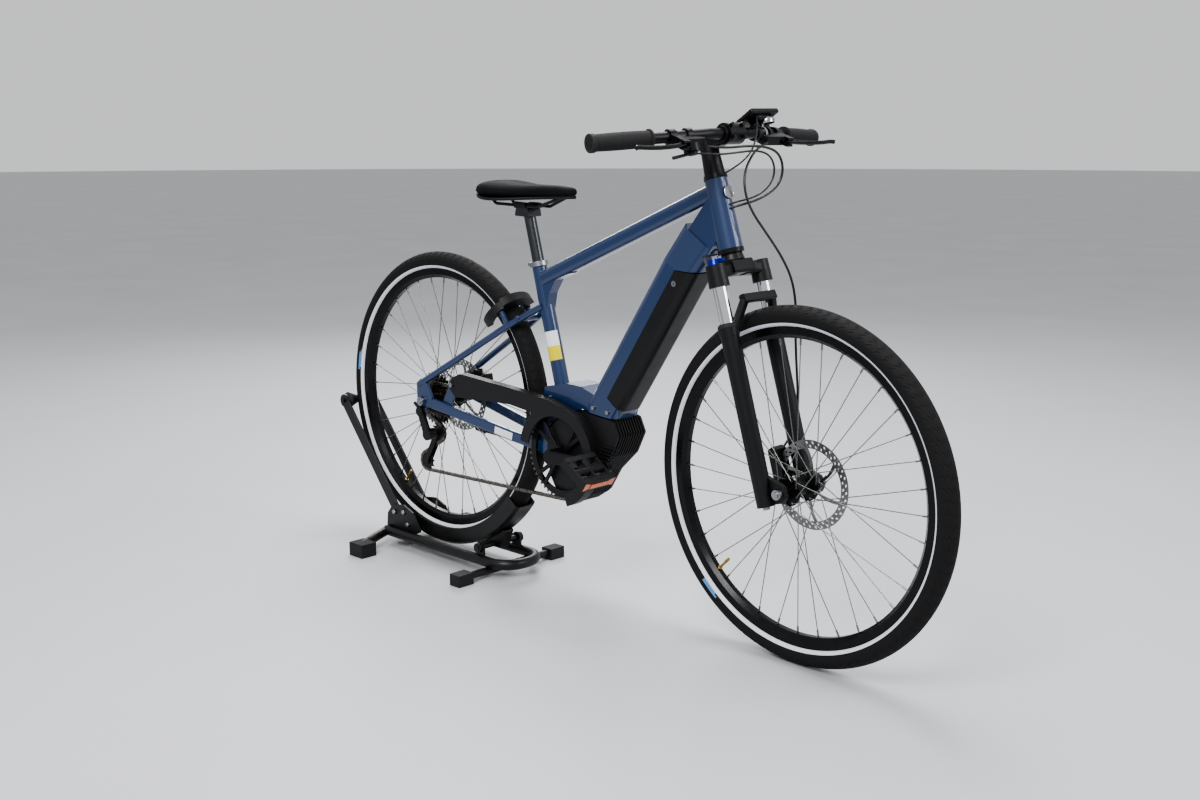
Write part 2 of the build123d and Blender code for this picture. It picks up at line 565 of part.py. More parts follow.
GUARD_OUTER = 115.0
GUARD_INNER = 89.0
GUARD_BAND = [(84, 404), (94, 428), (124, 443), (300, 438), (430, 431), (500, 414), (440, 392), (352, 396),
              (300, 400), (150, 388), (110, 384)]


def chain_guard():
    """Guard over the chain's upper run and round the front of the chain ring."""
    face_low, face_high = GUARD_Y
    band = slab(GUARD_BAND, face_low, face_high, 4)
    disc = across(BB.X, BB.Z, face_low, face_high, GUARD_OUTER)
    rim_wall = cut(across(BB.X, BB.Z, face_low, MOTOR_Y[0] - SEAT, GUARD_OUTER),
                   across(BB.X, BB.Z, face_low - 1, MOTOR_Y[0] + 1, GUARD_OUTER - 3))
    roof = slab([(94, 428), (124, 443), (300, 438), (430, 431), (500, 414), (498, 411), (430, 428), (300, 435),
                 (126, 440), (97, 427)], face_low, CHAIN_Y + CHAIN_WIDTH / 2)
    whole = fuse(band, disc, rim_wall, roof)
    open_part = slab([(BB.X, BB.Z), (BB.X - 160, BB.Z + 20), (BB.X - 160, BB.Z - 160), (BB.X + 60, BB.Z - 160)],
                     face_low - 1, 0)
    wall_only = slab([(300, 200), (BB.X - 20, 200), (BB.X + 30, BB.Z), (BB.X + 50, 440), (300, 440)],
                     face_high + GAP, -30)
    window = across(BB.X, BB.Z, face_low - 1, 0, GUARD_INNER)
    bolt_hole = across(96, 412, face_low - 1, face_high + 1, 3)
    ring_wall = [piece for piece in cut(whole, open_part, window, bolt_hole)]
    lower_room = cut(wall_only, roof, band)
    return cut(ring_wall, lower_room, rear_stays(), motor_housing())


def derailleur_body():
    """Hanger bolt, parallelogram and knuckles of the rear derailleur."""
    upper = across(-4, 332, -84, -REAR_HUB_WIDTH / 2 - 7 - SEAT, 12)
    lower = across(GUIDE_PULLEY.X, GUIDE_PULLEY.Z, -84, -62, 14)
    links = [slab([(-14, 334), (4, 340), (GUIDE_PULLEY.X + 10, GUIDE_PULLEY.Z + 4),
                   (GUIDE_PULLEY.X - 10, GUIDE_PULLEY.Z - 6)], -83, -78, 2),
             slab([(-10, 330), (6, 336), (GUIDE_PULLEY.X + 8, GUIDE_PULLEY.Z + 8),
                   (GUIDE_PULLEY.X - 8, GUIDE_PULLEY.Z - 4)], -74.5, -69.5 - GAP * 16, 1)]
    stub = across(GUIDE_PULLEY.X, GUIDE_PULLEY.Z, -63, CAGE_OUT_Y - 1.5 - GAP, 5)
    cable_seat = rod((-8, -79, 338), (-26, -79, 350), 4)
    return cut(fuse(upper, lower, links, stub, cable_seat), rear_stays())


PULLEY_PIN = 3.0


def derailleur_cage():
    """Two cage plates and the pins of both pulleys; it turns about the guide pulley's pin."""
    plates = []
    for y in (CAGE_OUT_Y, CAGE_IN_Y + 1.5):
        ends = [across(p.X, p.Z, y - 1.5, y, 10) for p in (GUIDE_PULLEY, TENSION_PULLEY)]
        along = (TENSION_PULLEY - GUIDE_PULLEY).normalized() * 7
        side = Vector(-along.Z, 0, along.X)
        web = [GUIDE_PULLEY + side, TENSION_PULLEY + side, TENSION_PULLEY - side, GUIDE_PULLEY - side]
        plates += fuse(ends, slab([(p.X, p.Z) for p in web], y - 1.5, y))
    pins = [across(p.X, p.Z, CAGE_OUT_Y - 1, CAGE_IN_Y + 1, PULLEY_PIN) for p in (GUIDE_PULLEY, TENSION_PULLEY)]
    return fuse(plates, pins)


def pulley(centre):
    half = 4.0
    disc = across(centre.X, centre.Z, CHAIN_Y - 2, CHAIN_Y + 2, PULLEY_DISC)
    hub_part = across(centre.X, centre.Z, CHAIN_Y - half, CHAIN_Y + half, 7)
    return cut(fuse(disc, hub_part), across(centre.X, centre.Z, -60, -30, PULLEY_PIN + RUN))


# ---- crank, chain ring and pedals ---------------------------------------------------------
ARM_INNER_Y = 72.0
ARM_THICK = 14.0
PEDAL_BORE = 7.0
CRANK_DIR = Vector(cos(radians(CRANK_TILT)), 0, sin(radians(CRANK_TILT)))
PEDAL_INNER = ARM_INNER_Y + ARM_THICK + 2


def chain_ring():
    """Chain ring disc to the roots of its teeth, on a four-armed spider."""
    root = RING_RADIUS - CHAIN_HEIGHT / 2 - GAP
    ring = cut(across(BB.X, BB.Z, CHAIN_Y - 1.5, CHAIN_Y + 1.5, root),
               across(BB.X, BB.Z, CHAIN_Y - 2, CHAIN_Y + 2, root - 15))
    arms = []
    for number in range(4):
        turn = radians(CRANK_TILT + 45 + 90 * number)
        for spread in (-9, 9):
            away = turn + radians(spread)
            tip = (BB.X + (root - 8) * cos(away), CHAIN_Y - 3.5, BB.Z + (root - 8) * sin(away))
            root_point = (BB.X + 16 * cos(turn), CHAIN_Y - 3.5, BB.Z + 16 * sin(turn))
            arms.append(bar(root_point, tip, 4, 10, 1.5))
    boss = across(BB.X, BB.Z, CHAIN_Y - 8, CHAIN_Y + 2, 21)
    bolts = [across(BB.X + (root - 9) * cos(radians(CRANK_TILT + 45 + 90 * n)),
                    BB.Z + (root - 9) * sin(radians(CRANK_TILT + 45 + 90 * n)), CHAIN_Y - 6, CHAIN_Y - 1, 6)
             for n in range(4)]
    return cut(fuse(ring, arms, boss, bolts), across(BB.X, BB.Z, -80, 0, SPINDLE_RADIUS + SEAT))


def crank_arm(side):
    """A crank arm; side is -1 on the right, where it points forward at rest."""
    reach = CRANK_DIR * CRANK_LENGTH * -side
    y0, y1 = sorted((side * ARM_INNER_Y, side * (ARM_INNER_Y + ARM_THICK)))
    boss_in = side * (ARM_INNER_Y - 16) if side < 0 else side * (ARM_INNER_Y - 6)
    boss = across(BB.X, BB.Z, *sorted((boss_in, side * (ARM_INNER_Y + ARM_THICK - 2))), 17)
    eye = across(BB.X + reach.X, BB.Z + reach.Z, y0, y1, 14)
    middle = side * (ARM_INNER_Y + ARM_THICK / 2)
    arm = bar((BB.X, middle, BB.Z), (BB.X + reach.X, middle, BB.Z + reach.Z), ARM_THICK - 2, 30, 4,
              ARM_THICK - 3, 22)
    pin_end = sorted((side * (ARM_INNER_Y + ARM_THICK - 1), side * (PEDAL_INNER + 84)))
    pin = across(BB.X + reach.X, BB.Z + reach.Z, *pin_end, PEDAL_BORE - 2)
    return cut(fuse(boss, eye, arm, pin), across(BB.X, BB.Z, -71, 71, SPINDLE_RADIUS + SEAT))


def crank_set():
    spindle = across(BB.X, BB.Z, -70.5, 70.5, SPINDLE_RADIUS)
    return crank_arm(-1) + crank_arm(1) + [spindle]


def pedal(side):
    """A platform pedal on its pin: core, two grip bars, end plates and two reflectors."""
    centre = BB + CRANK_DIR * CRANK_LENGTH * -side
    inner, outer = side * PEDAL_INNER, side * (PEDAL_INNER + 88)
    y0, y1 = sorted((inner, outer))
    core = rod((0, y0, 0), (0, y1, 0), 10)
    bars = [solids(Pos(x, (y0 + y1) / 2, 0) * Box(13, y1 - y0, 22))[0] for x in (-33, 33)]
    ends = [solids(Pos(0, y, 0) * Box(66, 7, 18))[0] for y in (y0 + 3.5, (y0 + y1) / 2, y1 - 3.5)]
    lamp_rooms = [solids(Pos(x, (y0 + y1) / 2, 0) * Box(3, 52, 12))[0] for x in (-39.6, 39.6)]
    lamps = [solids(Pos(x, (y0 + y1) / 2, 0) * Box(2.8, 51.8, 11.8))[0] for x in (-39.6, 39.6)]
    pin_room = rod((0, inner - side, 0), (0, inner + side * 85, 0), PEDAL_BORE - 2 + RUN)
    body = cut(fuse(core, bars, ends), lamp_rooms, pin_room)
    return moved(body + lamps, Location(centre) * Rotation(0, -PEDAL_TILT, 0))


# ---- saddle and seat post -----------------------------------------------------------------
POST_TOP = SEAT_TOP + SEAT_UP * SEATPOST_SHOWN
RAIL_Z = 848.0
RAIL_RADIUS = 3.5


def seatpost():
    """Seat post with its saddle clamp's lower jaw."""
    post = rod(SEAT_TOP - SEAT_UP * 180, POST_TOP, SEATPOST_RADIUS)
    head = slab([(262, 824), (308, 824), (304, RAIL_Z - 6), (266, RAIL_Z - 6)], -20, 20, 3)
    return fuse(post, head)


@cache
def saddle_shell():
    """Saddle's base shell, its two rails and the clamp's upper jaws."""
    sections = ((176, 120, 868), (205, 148, 862), (270, 122, 863), (330, 62, 868), (380, 38, 872), (426, 24, 875))
    faces = [Plane(origin=(x, 0, z), x_dir=(0, 1, 0), z_dir=(1, 0, 0)) * RectangleRounded(width, 7, 3.2)
             for x, width, z in sections]
    base = loft(faces)
    rails = []
    for side in (-1, 1):
        points = [(190, side * 30, 866), (206, side * 27, RAIL_Z), (250, side * 22, RAIL_Z),
                  (335, side * 20, RAIL_Z), (398, side * 8, 872)]
        rails.append(tube_along(points, RAIL_RADIUS, [12, 30, 12]))
    jaws = [slab([(266, RAIL_Z - 5.5), (304, RAIL_Z - 5.5), (300, RAIL_Z + 6), (270, RAIL_Z + 6)],
                 side * 21 - 6, side * 21 + 6, 2) for side in (-1, 1)]
    return fuse(base, rails, jaws)


def saddle_pad():
    """Saddle cushion in its plain outer shape."""
    sections = ((172, 128, 36, 886), (200, 160, 42, 881), (262, 142, 40, 881), (322, 78, 30, 885),
                (374, 50, 24, 888), (432, 34, 19, 887))
    faces = [Plane(origin=(x, 0, z), x_dir=(0, 1, 0), z_dir=(1, 0, 0)) * RectangleRounded(width, height, 9)
             for x, width, height, z in sections]
    return cut(loft(faces), saddle_shell())


def kickstand_leg():
    """Kickstand leg folded along the chain stay, with its rubber foot."""
    pivot = Vector(332, 50, 284)
    foot = Vector(44, 64, 279)
    hub_part = rod((pivot.X, 44 + GAP, pivot.Z), (pivot.X, 58, pivot.Z), 11)
    leg = rod(pivot + Vector(0, 2, 0), foot + (pivot - foot).normalized() * 26, 8)
    rubber = rod(foot + (pivot - foot).normalized() * 30, foot, 11, 9)
    return fuse(hub_part, leg) + cut(rubber, leg)


# ---- front end, in the steering frame -----------------------------------------------------
LEG_X = 9.0
CROWN_TOP = -14.0
CROWN_LOW = -64.0
STANCHION_END = -330.0
LEG_TOP = -145.0
LEG_END = -498.0
LEG_RADIUS = 18.5
AXLE_AT = Vector(RAKE, 0, -FORK_LENGTH)


def fork_crown():
    """Steerer, crown race and forged crown with a socket for each stanchion."""
    steerer = rod((0, 0, CROWN_LOW + 22), (0, 0, STEM_HEIGHT + 14), STEERER_RADIUS)
    race = rod((0, 0, CROWN_TOP), (0, 0, -GAP), 24, 21)
    sockets = [rod((LEG_X, y, CROWN_LOW), (LEG_X, y, CROWN_TOP - 6), 20.5, 19) for y in (-LEG_SPACING, LEG_SPACING)]
    middle = slab([(-22, CROWN_TOP - 30), (-22, CROWN_TOP), (24, CROWN_TOP), (28, CROWN_TOP - 28)], -30, 30, 6)
    arms = [bar((4, side * 20, -32), (LEG_X, side * LEG_SPACING, -36), 34, 26, 8, side=(1, 0, 0)) for side in (-1, 1)]
    whole = fuse(steerer, race, sockets, middle, arms)
    rooms = [rod((LEG_X, y, CROWN_LOW - 1), (LEG_X, y, CROWN_TOP - 14), STANCHION_RADIUS + SEAT)
             for y in (-LEG_SPACING, LEG_SPACING)]
    dial_room = rod((LEG_X, -LEG_SPACING, CROWN_TOP - 12), (LEG_X, -LEG_SPACING, 0), 6 + RUN)
    return cut(whole, rooms, dial_room)


def fork_stanchions():
    return [rod((LEG_X, y, STANCHION_END), (LEG_X, y, CROWN_TOP - 14 - SEAT), STANCHION_RADIUS)
            for y in (-LEG_SPACING, LEG_SPACING)]


def lockout_dial():
    """Lockout dial on the right leg's socket."""
    shaft = rod((LEG_X, -LEG_SPACING, CROWN_TOP - 11.5), (LEG_X, -LEG_SPACING, CROWN_TOP + 4), 6)
    cap = rod((LEG_X, -LEG_SPACING, CROWN_TOP - 6 + GAP), (LEG_X, -LEG_SPACING, CROWN_TOP + 5), 15, 13)
    lever = slab([(LEG_X, CROWN_TOP - 4), (LEG_X + 24, CROWN_TOP - 3), (LEG_X + 24, CROWN_TOP + 3),
                  (LEG_X, CROWN_TOP + 4)], -LEG_SPACING - 4, -LEG_SPACING + 4, 1)
    return fuse(shaft, cap, lever)


@cache
def fork_lowers():
    """Both lower legs, the arch in front of the tyre, dropouts and the caliper's posts."""
    parts = []
    for side in (-1, 1):
        y = side * LEG_SPACING
        parts += [rod((LEG_X, y, LEG_END), (LEG_X, y, LEG_TOP), LEG_RADIUS - 1, LEG_RADIUS),
                  rod((LEG_X, y, LEG_TOP - 16), (LEG_X, y, LEG_TOP), LEG_RADIUS + 1.5)]
        inner = FRONT_HUB_WIDTH / 2
        y0, y1 = sorted((side * inner, side * (inner + 12)))
        parts.append(slab([(LEG_X - 12, -496), (LEG_X - 12, -440), (LEG_X + 12, -440), (RAKE + 12, -464),
                           (RAKE + 14, -486), (RAKE + 4, -496)], y0, y1, 6))
        parts.append(bar((LEG_X + 4, y, LEG_TOP - 18), (44, side * 40, -98), 16, 15, 5))
    arch = slab([(36, -106), (36, -88), (50, -86), (54, -104)], -46, 46, 4)
    posts = [rod((LEG_X - 8, LEG_SPACING - 6, z), (LEG_X - 34, LEG_SPACING - 12, z), 7) for z in (-405, -450)]
    tyre_room = solids(Pos(AXLE_AT) * revolve(
        make_face(Polyline((0, -26), (TYRE_RADIUS + 2, -26), (TYRE_RADIUS + 2, 26), (0, 26), close=True)),
        Axis.Y, 360))
    bores = [rod((LEG_X, y, STANCHION_END - 50), (LEG_X, y, -60), STANCHION_RADIUS + RUN)
             for y in (-LEG_SPACING, LEG_SPACING)]
    slot = rod((RAKE, -90, -FORK_LENGTH), (RAKE, 90, -FORK_LENGTH), AXLE_RADIUS + SEAT)
    rotor_room = rod((RAKE, FRONT_ROTOR_Y - 4, -FORK_LENGTH), (RAKE, FRONT_ROTOR_Y + 6, -FORK_LENGTH),
                     ROTOR_RADIUS + 3)
    return cut(fuse(parts, arch, posts), tyre_room, bores, slot, rotor_room)


def front_axle():
    """Front axle with its nuts and a drop of both legs' foot bolts."""
    end = FRONT_HUB_WIDTH / 2 + 24
    inner = FRONT_HUB_WIDTH / 2 + 12 + SEAT
    shaft = rod((RAKE, -end, -FORK_LENGTH), (RAKE, end, -FORK_LENGTH), AXLE_RADIUS)
    nuts = [rod((RAKE, side * inner, -FORK_LENGTH), (RAKE, side * (end - 2), -FORK_LENGTH), 10) for side in (-1, 1)]
    feet = [rod((LEG_X, y, LEG_END - 6), (LEG_X, y, LEG_END - SEAT), 7) for y in (-LEG_SPACING, LEG_SPACING)]
    return fuse(shaft, nuts) + feet


def front_caliper():
    """Brake caliper behind the left leg, over the front rotor."""
    y = FRONT_ROTOR_Y + 0.9
    body = slab([(-38, -462), (-38, -396), (-22, -390), (-12, -398), (-12, -458), (-22, -466)], y - 11, y + 17, 4)
    slot = rod((RAKE, y - 2.6, -FORK_LENGTH), (RAKE, y + 2.6, -FORK_LENGTH), ROTOR_RADIUS + 2)
    return cut(body, slot, fork_lowers())


def stem():
    """Stem: steerer clamp, forward arm and bar clamp with its faceplate; spacers and a top cap."""
    clamp = rod((0, 0, STEM_HEIGHT - 21), (0, 0, STEM_HEIGHT + 15), 19)
    spacers = rod((0, 0, HEAD_LENGTH + GAP), (0, 0, STEM_HEIGHT - 21), 21, 18.5)
    arm = bar((8, 0, STEM_HEIGHT - 3), (STEM_LENGTH - 8, 0, STEM_HEIGHT), 32, 30, 9)
    bar_clamp = rod((STEM_LENGTH, -22, STEM_HEIGHT), (STEM_LENGTH, 22, STEM_HEIGHT), 21)
    cap = rod((0, 0, STEM_HEIGHT + 15), (0, 0, STEM_HEIGHT + 19), 17)
    bolts = [rod((STEM_LENGTH + 10, y, STEM_HEIGHT + z), (STEM_LENGTH + 24, y, STEM_HEIGHT + z), 4)
             for y in (-15, 15) for z in (-13, 13)]
    steerer_room = rod((0, 0, HEAD_LENGTH - 1), (0, 0, STEM_HEIGHT + 14.5), STEERER_RADIUS + SEAT)
    bar_room = rod((STEM_LENGTH, -40, STEM_HEIGHT), (STEM_LENGTH, 40, STEM_HEIGHT), BAR_CLAMP_RADIUS + SEAT)
    return cut(fuse(clamp, spacers, arm, bar_clamp, cap, bolts), steerer_room, bar_room)


SWEEP_START = 62.0
BAR_END = Vector(STEM_LENGTH - BAR_SWEEP, BAR_HALF_LENGTH, STEM_HEIGHT + 4)
BAR_RUN = (BAR_END - Vector(STEM_LENGTH, SWEEP_START, STEM_HEIGHT)).normalized()


def bar_point(y, forward=0.0, up=0.0):
    """A point beside the swept part of the bar, on either side of the stem."""
    share = (abs(y) - SWEEP_START) / (BAR_HALF_LENGTH - SWEEP_START)
    x = STEM_LENGTH - BAR_SWEEP * share
    return Vector(x + forward, y, STEM_HEIGHT + 4 * share + up)


def handlebar():
    ends = [(BAR_END.X, -BAR_END.Y, BAR_END.Z), (STEM_LENGTH, -SWEEP_START, STEM_HEIGHT),
            (STEM_LENGTH, SWEEP_START, STEM_HEIGHT), (BAR_END.X, BAR_END.Y, BAR_END.Z)]
    swept = tube_along(ends, BAR_RADIUS, 60)
    middle = rod((STEM_LENGTH, -30, STEM_HEIGHT), (STEM_LENGTH, 30, STEM_HEIGHT), BAR_CLAMP_RADIUS)
    return fuse(swept, middle)


GRIP_INNER = 192.0
CLAMP_Y = 150.0


def along_bar(y0, y1, radius, side):
    return rod(bar_point(side * y0), bar_point(side * y1), radius)


def grips():
    """Both grips: a sleeve with flanges, closed at the bar's end."""
    pieces = []
    for side in (-1, 1):
        sleeve = fuse(along_bar(GRIP_INNER, BAR_HALF_LENGTH + 3, 16, side),
                      along_bar(GRIP_INNER, GRIP_INNER + 5, 18.5, side),
                      along_bar(BAR_HALF_LENGTH - 6, BAR_HALF_LENGTH + 3, 18, side))
        pieces += cut(sleeve, along_bar(GRIP_INNER - 5, BAR_HALF_LENGTH + SEAT, BAR_RADIUS + SEAT, side))
    return pieces


LEVER_DROP = radians(35)
LEVER_OUT = Vector(cos(LEVER_DROP), 0, -sin(LEVER_DROP))
LEVER_PIVOT_Y = 152.0
LEVER_PIVOT_OUT = 40.0
LEVER_PIN = 3.0


def lever_pivot(side):
    return bar_point(side * LEVER_PIVOT_Y) + LEVER_OUT * LEVER_PIVOT_OUT


LEVER_AXIS = Vector(sin(LEVER_DROP), 0, cos(LEVER_DROP))


def in_lever_plane(side, outline, low, high):
    """A plate in a brake lever's plane: (out, y) corners counted from the bar's middle there."""
    origin = bar_point(side * LEVER_PIVOT_Y)
    points = [Vector(origin.X, 0, origin.Z) + LEVER_OUT * out + Vector(0, side * y, 0) + LEVER_AXIS * low
              for out, y in outline]
    return Solid.extrude(Face(Wire(Polyline(*points, close=True).edges())), LEVER_AXIS * (high - low))


@cache
def control_mounts():
    """Both brake levers' clamps with their reservoirs, and the shifter's body on the right."""
    pieces = []
    for side in (-1, 1):
        ring = along_bar(CLAMP_Y - 9, CLAMP_Y + 5, 15.5, side)
        pod = in_lever_plane(side, [(12, 88), (12, 158), (30, 158), (38, 140), (36, 92), (28, 84)], -9, 9)
        ears = [in_lever_plane(side, [(26, 142), (26, 158), (48, 160), (48, 142)], low, low + 4) for low in (-9, 5)]
        pivot = lever_pivot(side)
        pin = rod(pivot - LEVER_AXIS * 9, pivot + LEVER_AXIS * 9, LEVER_PIN)
        room = in_lever_plane(side, [(29, 130), (29, 170), (60, 170), (60, 130)], -5, 5)
        body = cut(fuse(ring, pod, ears), room, along_bar(70, 240, BAR_RADIUS + SEAT, side))
        pieces += fuse(body, pin)
    low, high = bar_point(-112, 6, -15), bar_point(-140, 10, -15)
    shifter = rod(low + Vector(0, 0, -18), low + Vector(0, 0, -2), 17)
    strap = along_bar(105, 117, 15, -1)
    housing = fuse(shifter, strap, rod(low, high, 9))
    return pieces + cut(housing, along_bar(70, 240, BAR_RADIUS + SEAT, -1), pieces)


def brake_lever(side):
    """A two-finger brake lever on its pin."""
    blade = in_lever_plane(side, [(34, 146), (34, 158), (45, 178), (50, 230), (44, 284), (51, 288), (58, 282),
                                  (59, 230), (55, 176), (48, 150)], -4.5, 4.5)
    pivot = lever_pivot(side)
    bore = rod(pivot - LEVER_AXIS * 12, pivot + LEVER_AXIS * 12, LEVER_PIN + RUN)
    return cut(blade, bore)


SHIFT_PIVOT = bar_point(-112, 6, -33)


def shift_lever():
    """The shifter's thumb lever, under its body."""
    low = SHIFT_PIVOT - Vector(0, 0, 5)
    hub_part = rod(low - Vector(0, 0, 1), SHIFT_PIVOT - Vector(0, 0, GAP), 9)
    arm = bar(low + Vector(0, -4, 2), low + Vector(-30, -26, 2), 12, 4, 1.5, 16, 5)
    return fuse(hub_part, arm)


@cache
def display_head():
    """Display on its clamp to the left of the stem, with the assistance remote beside the left grip."""
    foot = bar_point(74)
    clamp = along_bar(68, 82, 15.5, 1)
    case = moved([Box(62, 84, 12)], Location(foot + Vector(10, 8, 40)) * Rotation(0, 24, 0))
    neck = rod(foot + Vector(0, 2, 10), foot + Vector(8, 6, 36), 9)
    remote_at = bar_point(120)
    remote_clamp = along_bar(114, 124, 14.5, 1)
    remote = moved([Box(30, 34, 16)], Location(remote_at + Vector(-12, 0, 18)))
    bore = along_bar(66, 240, BAR_RADIUS + SEAT, 1)
    return cut(fuse(clamp, neck, case) + fuse(remote_clamp, remote), bore, control_mounts())


def bell():
    """Bell dome on a clamp, left of the display."""
    foot = bar_point(98)
    clamp = along_bar(94, 102, 14.5, 1)
    post = rod(foot + Vector(4, 0, 8), foot + Vector(12, 0, 22), 4)
    dome = solids(Sphere(16).moved(Location(foot + Vector(22, 0, 18))))
    half = solids(Pos(foot + Vector(22, 0, 2)) * Box(60, 60, 32))
    dome = cut(dome, half)
    base = rod(foot + Vector(22, 0, 14), foot + Vector(22, 0, 18), 15)
    bore = along_bar(66, 240, BAR_RADIUS + SEAT, 1)
    return cut(fuse(clamp, post, base, dome), bore, display_head(), control_mounts())


# ---- hoses and cables: points chosen by hand, in the steering frame ------------------------
HOSE_RADIUS = 2.5
REAR_HOSE = [(72, -84, 197), (84, -50, 190), (98, -10, 189), (104, 40, 186), (100, 84, 174), (88, 104, 146),
             (76, 98, 118), (66, 70, 100), (56, 36, 90), (46, 10, 87), (26.3, -2, 86)]
SHIFT_CABLE = [(66, -108, 186), (82, -70, 178), (94, -28, 178), (98, 22, 180), (92, 66, 172), (82, 86, 148),
               (72, 80, 122), (62, 56, 104), (52, 28, 96), (42, 6, 95), (26, -2, 94)]
FRONT_HOSE = [(76, 86, 200), (74, 62, 194), (70, 36, 176), (65, 12, 146), (62, 4, 106), (62, 14, 66),
              (66, 37, 24), (72, 60, -24), (72, 78, -72), (62, 86, -124), (44, 88, -176), (30, 88, -236),
              (18, 88, -296), (2, 84, -352), (-22, 74, -388), (-30, 60, -400)]
DISPLAY_CABLE = [(84, 60, 254), (90, 50, 232), (92, 36, 206), (84, 22, 180), (66, 8, 165), (46, -3, 157),
                 (26, -6, 153)]


def rear_brake_hose():
    return hose("rear brake hose", REAR_HOSE, HOSE_RADIUS)


def shift_cable():
    return hose("shift cable", SHIFT_CABLE, 2.0)


def front_brake_hose():
    return hose("front brake hose", FRONT_HOSE, HOSE_RADIUS)


def display_cable():
    return cut(hose("display cable", DISPLAY_CABLE, 1.8), display_head())


# ---- stand, drawn where it stands, with X counted as on the level bicycle -----------------
RAIL_HEIGHT = 34.0
ARM_PIVOT = Vector(-138, 0, 86)
CRADLE_AXLE = Vector(200, 0, 64)
TROUGH_START = -106.0
TROUGH_END = -38.0


@cache
def stand_base():
    """Rail bent to a U, front and rear cross tubes, and the arms' bracket plates, welded."""
    r, w = STAND_TUBE_RADIUS, STAND_HALF_WIDTH
    rail = tube_along([(-165, -w, RAIL_HEIGHT), (296, -w, RAIL_HEIGHT), (296, w, RAIL_HEIGHT),
                       (-165, w, RAIL_HEIGHT)], r, 55)
    rear = tube_along([(-126, -172, 22), (-165, -w, 32), (-165, w, 32), (-126, 172, 22)], r - 1, 30)
    front_z = RAIL_HEIGHT - r - 8
    front = rod((235, -150, front_z + FOOT_HEIGHT - 6), (235, 150, front_z + FOOT_HEIGHT - 6), 9)
    plates = both_sides(slab([(-172, 40), (-168, 78), (-146, 104), (-100, 110), (-64, 96), (-34, 52), (-60, 40)],
                             50, 54, 4))
    floor = slab([(-170, 40), (-104, 40), (-104, 46), (-170, 46)], -54, 54)
    pin = both_sides(across(ARM_PIVOT.X, ARM_PIVOT.Z, 38, 58, 6))
    lugs = both_sides(slab([(186, RAIL_HEIGHT), (186, 70), (196, 78), (206, 78), (214, 70), (214, RAIL_HEIGHT)],
                           56, 62, 3))
    whole = fuse(rail, rear, front, plates, floor, pin, lugs)
    return cut(whole, across(CRADLE_AXLE.X, CRADLE_AXLE.Z, -90, 90, 7 + SEAT))


def stand_feet():
    """Four rubber caps on the ends of the cross tubes."""
    r = STAND_TUBE_RADIUS
    back = both_sides(solids(Pos(-120, 170, 17) * Box(52, 44, 34)))
    front = both_sides(solids(Pos(235, 148, 14) * Box(34, 44, 28)))
    return cut(back + front, stand_base())


def stand_arms():
    """Two long arms from the bracket's pin to the roller's pin behind the tyre."""
    pieces = []
    for side in (-1, 1):
        y = side * STAND_ARM_Y
        low = Vector(ARM_PIVOT.X, y, ARM_PIVOT.Z)
        high = Vector(ROLLER.X, y, ROLLER.Z)
        strip = bar(low, high, 6, 30, 2)
        eyes = [across(p.X, p.Z, y - 3, y + 3, 17) for p in (low, high)]
        pieces += fuse(strip, eyes)
    pin = across(ROLLER.X, ROLLER.Z, -STAND_ARM_Y - 8, STAND_ARM_Y + 8, 5)
    bores = across(ARM_PIVOT.X, ARM_PIVOT.Z, -60, 60, 6 + RUN)
    return fuse(cut(pieces, bores), pin)


def stand_roller():
    """Waisted rubber roller between the arms, against the back of the tyre."""
    end = STAND_ARM_Y - 3 - GAP
    profile = [(5 + RUN, -end), (14, -end), (ROLLER_RADIUS, -end + 8), (ROLLER_WAIST + 0.5, -8), (ROLLER_WAIST, 0),
               (ROLLER_WAIST + 0.5, 8), (ROLLER_RADIUS, end - 8), (14, end), (5 + RUN, end)]
    return moved(turned(profile), Location(ROLLER))


def stand_cradle():
    """Trough under the tyre on its cross axle, with the axle's nuts and the strap over the tyre."""
    inner = TYRE_RADIUS + 2.5
    half = TYRE_WIDTH / 2 + 4
    wall = 4.0
    low_side = TYRE_RADIUS - 34
    section = [(low_side, -half), (low_side, -half - wall), (inner + wall - 6, -half - wall), (inner + wall, -half + 4),
               (inner + wall, half - 4), (inner + wall - 6, half + wall), (low_side, half + wall), (low_side, half),
               (inner - 8, half), (inner, half - 8), (inner, 8 - half), (inner - 8, -half)]
    face = make_face(Polyline(*section, close=True))
    start = Location(WHEEL_ON_STAND) * Rotation(0, -TROUGH_START, 0)
    trough = moved(revolve(face, Axis.Y, -(TROUGH_END - TROUGH_START)), start)
    x, z = CRADLE_AXLE.X, CRADLE_AXLE.Z
    web = slab([(x - 26, z - 8), (x + 20, z - 8), (x + 40, z + 40), (x - 40, z + 30)], -14, 14, 4)
    inside = across(WHEEL_ON_STAND.X, WHEEL_ON_STAND.Z, -20, 20, inner + wall / 2)
    axle = across(x, z, -72, 72, 7)
    nuts = [across(x, z, *sorted((side * (62 + SEAT), side * 70)), 12) for side in (-1, 1)]
    return fuse(trough, cut(web, inside), axle, nuts)


def stand_place(items):
    return moved(items, TO_ORIGIN)


def wheel_place(items):
    return moved(items, BIKE * Location(REAR_AXLE))


def front_wheel_place(items):
    return moved(items, FRONT * Location(AXLE_AT))


def bike_place(items):
    return moved(items, BIKE)


def front_place(items):
    return moved(items, FRONT)


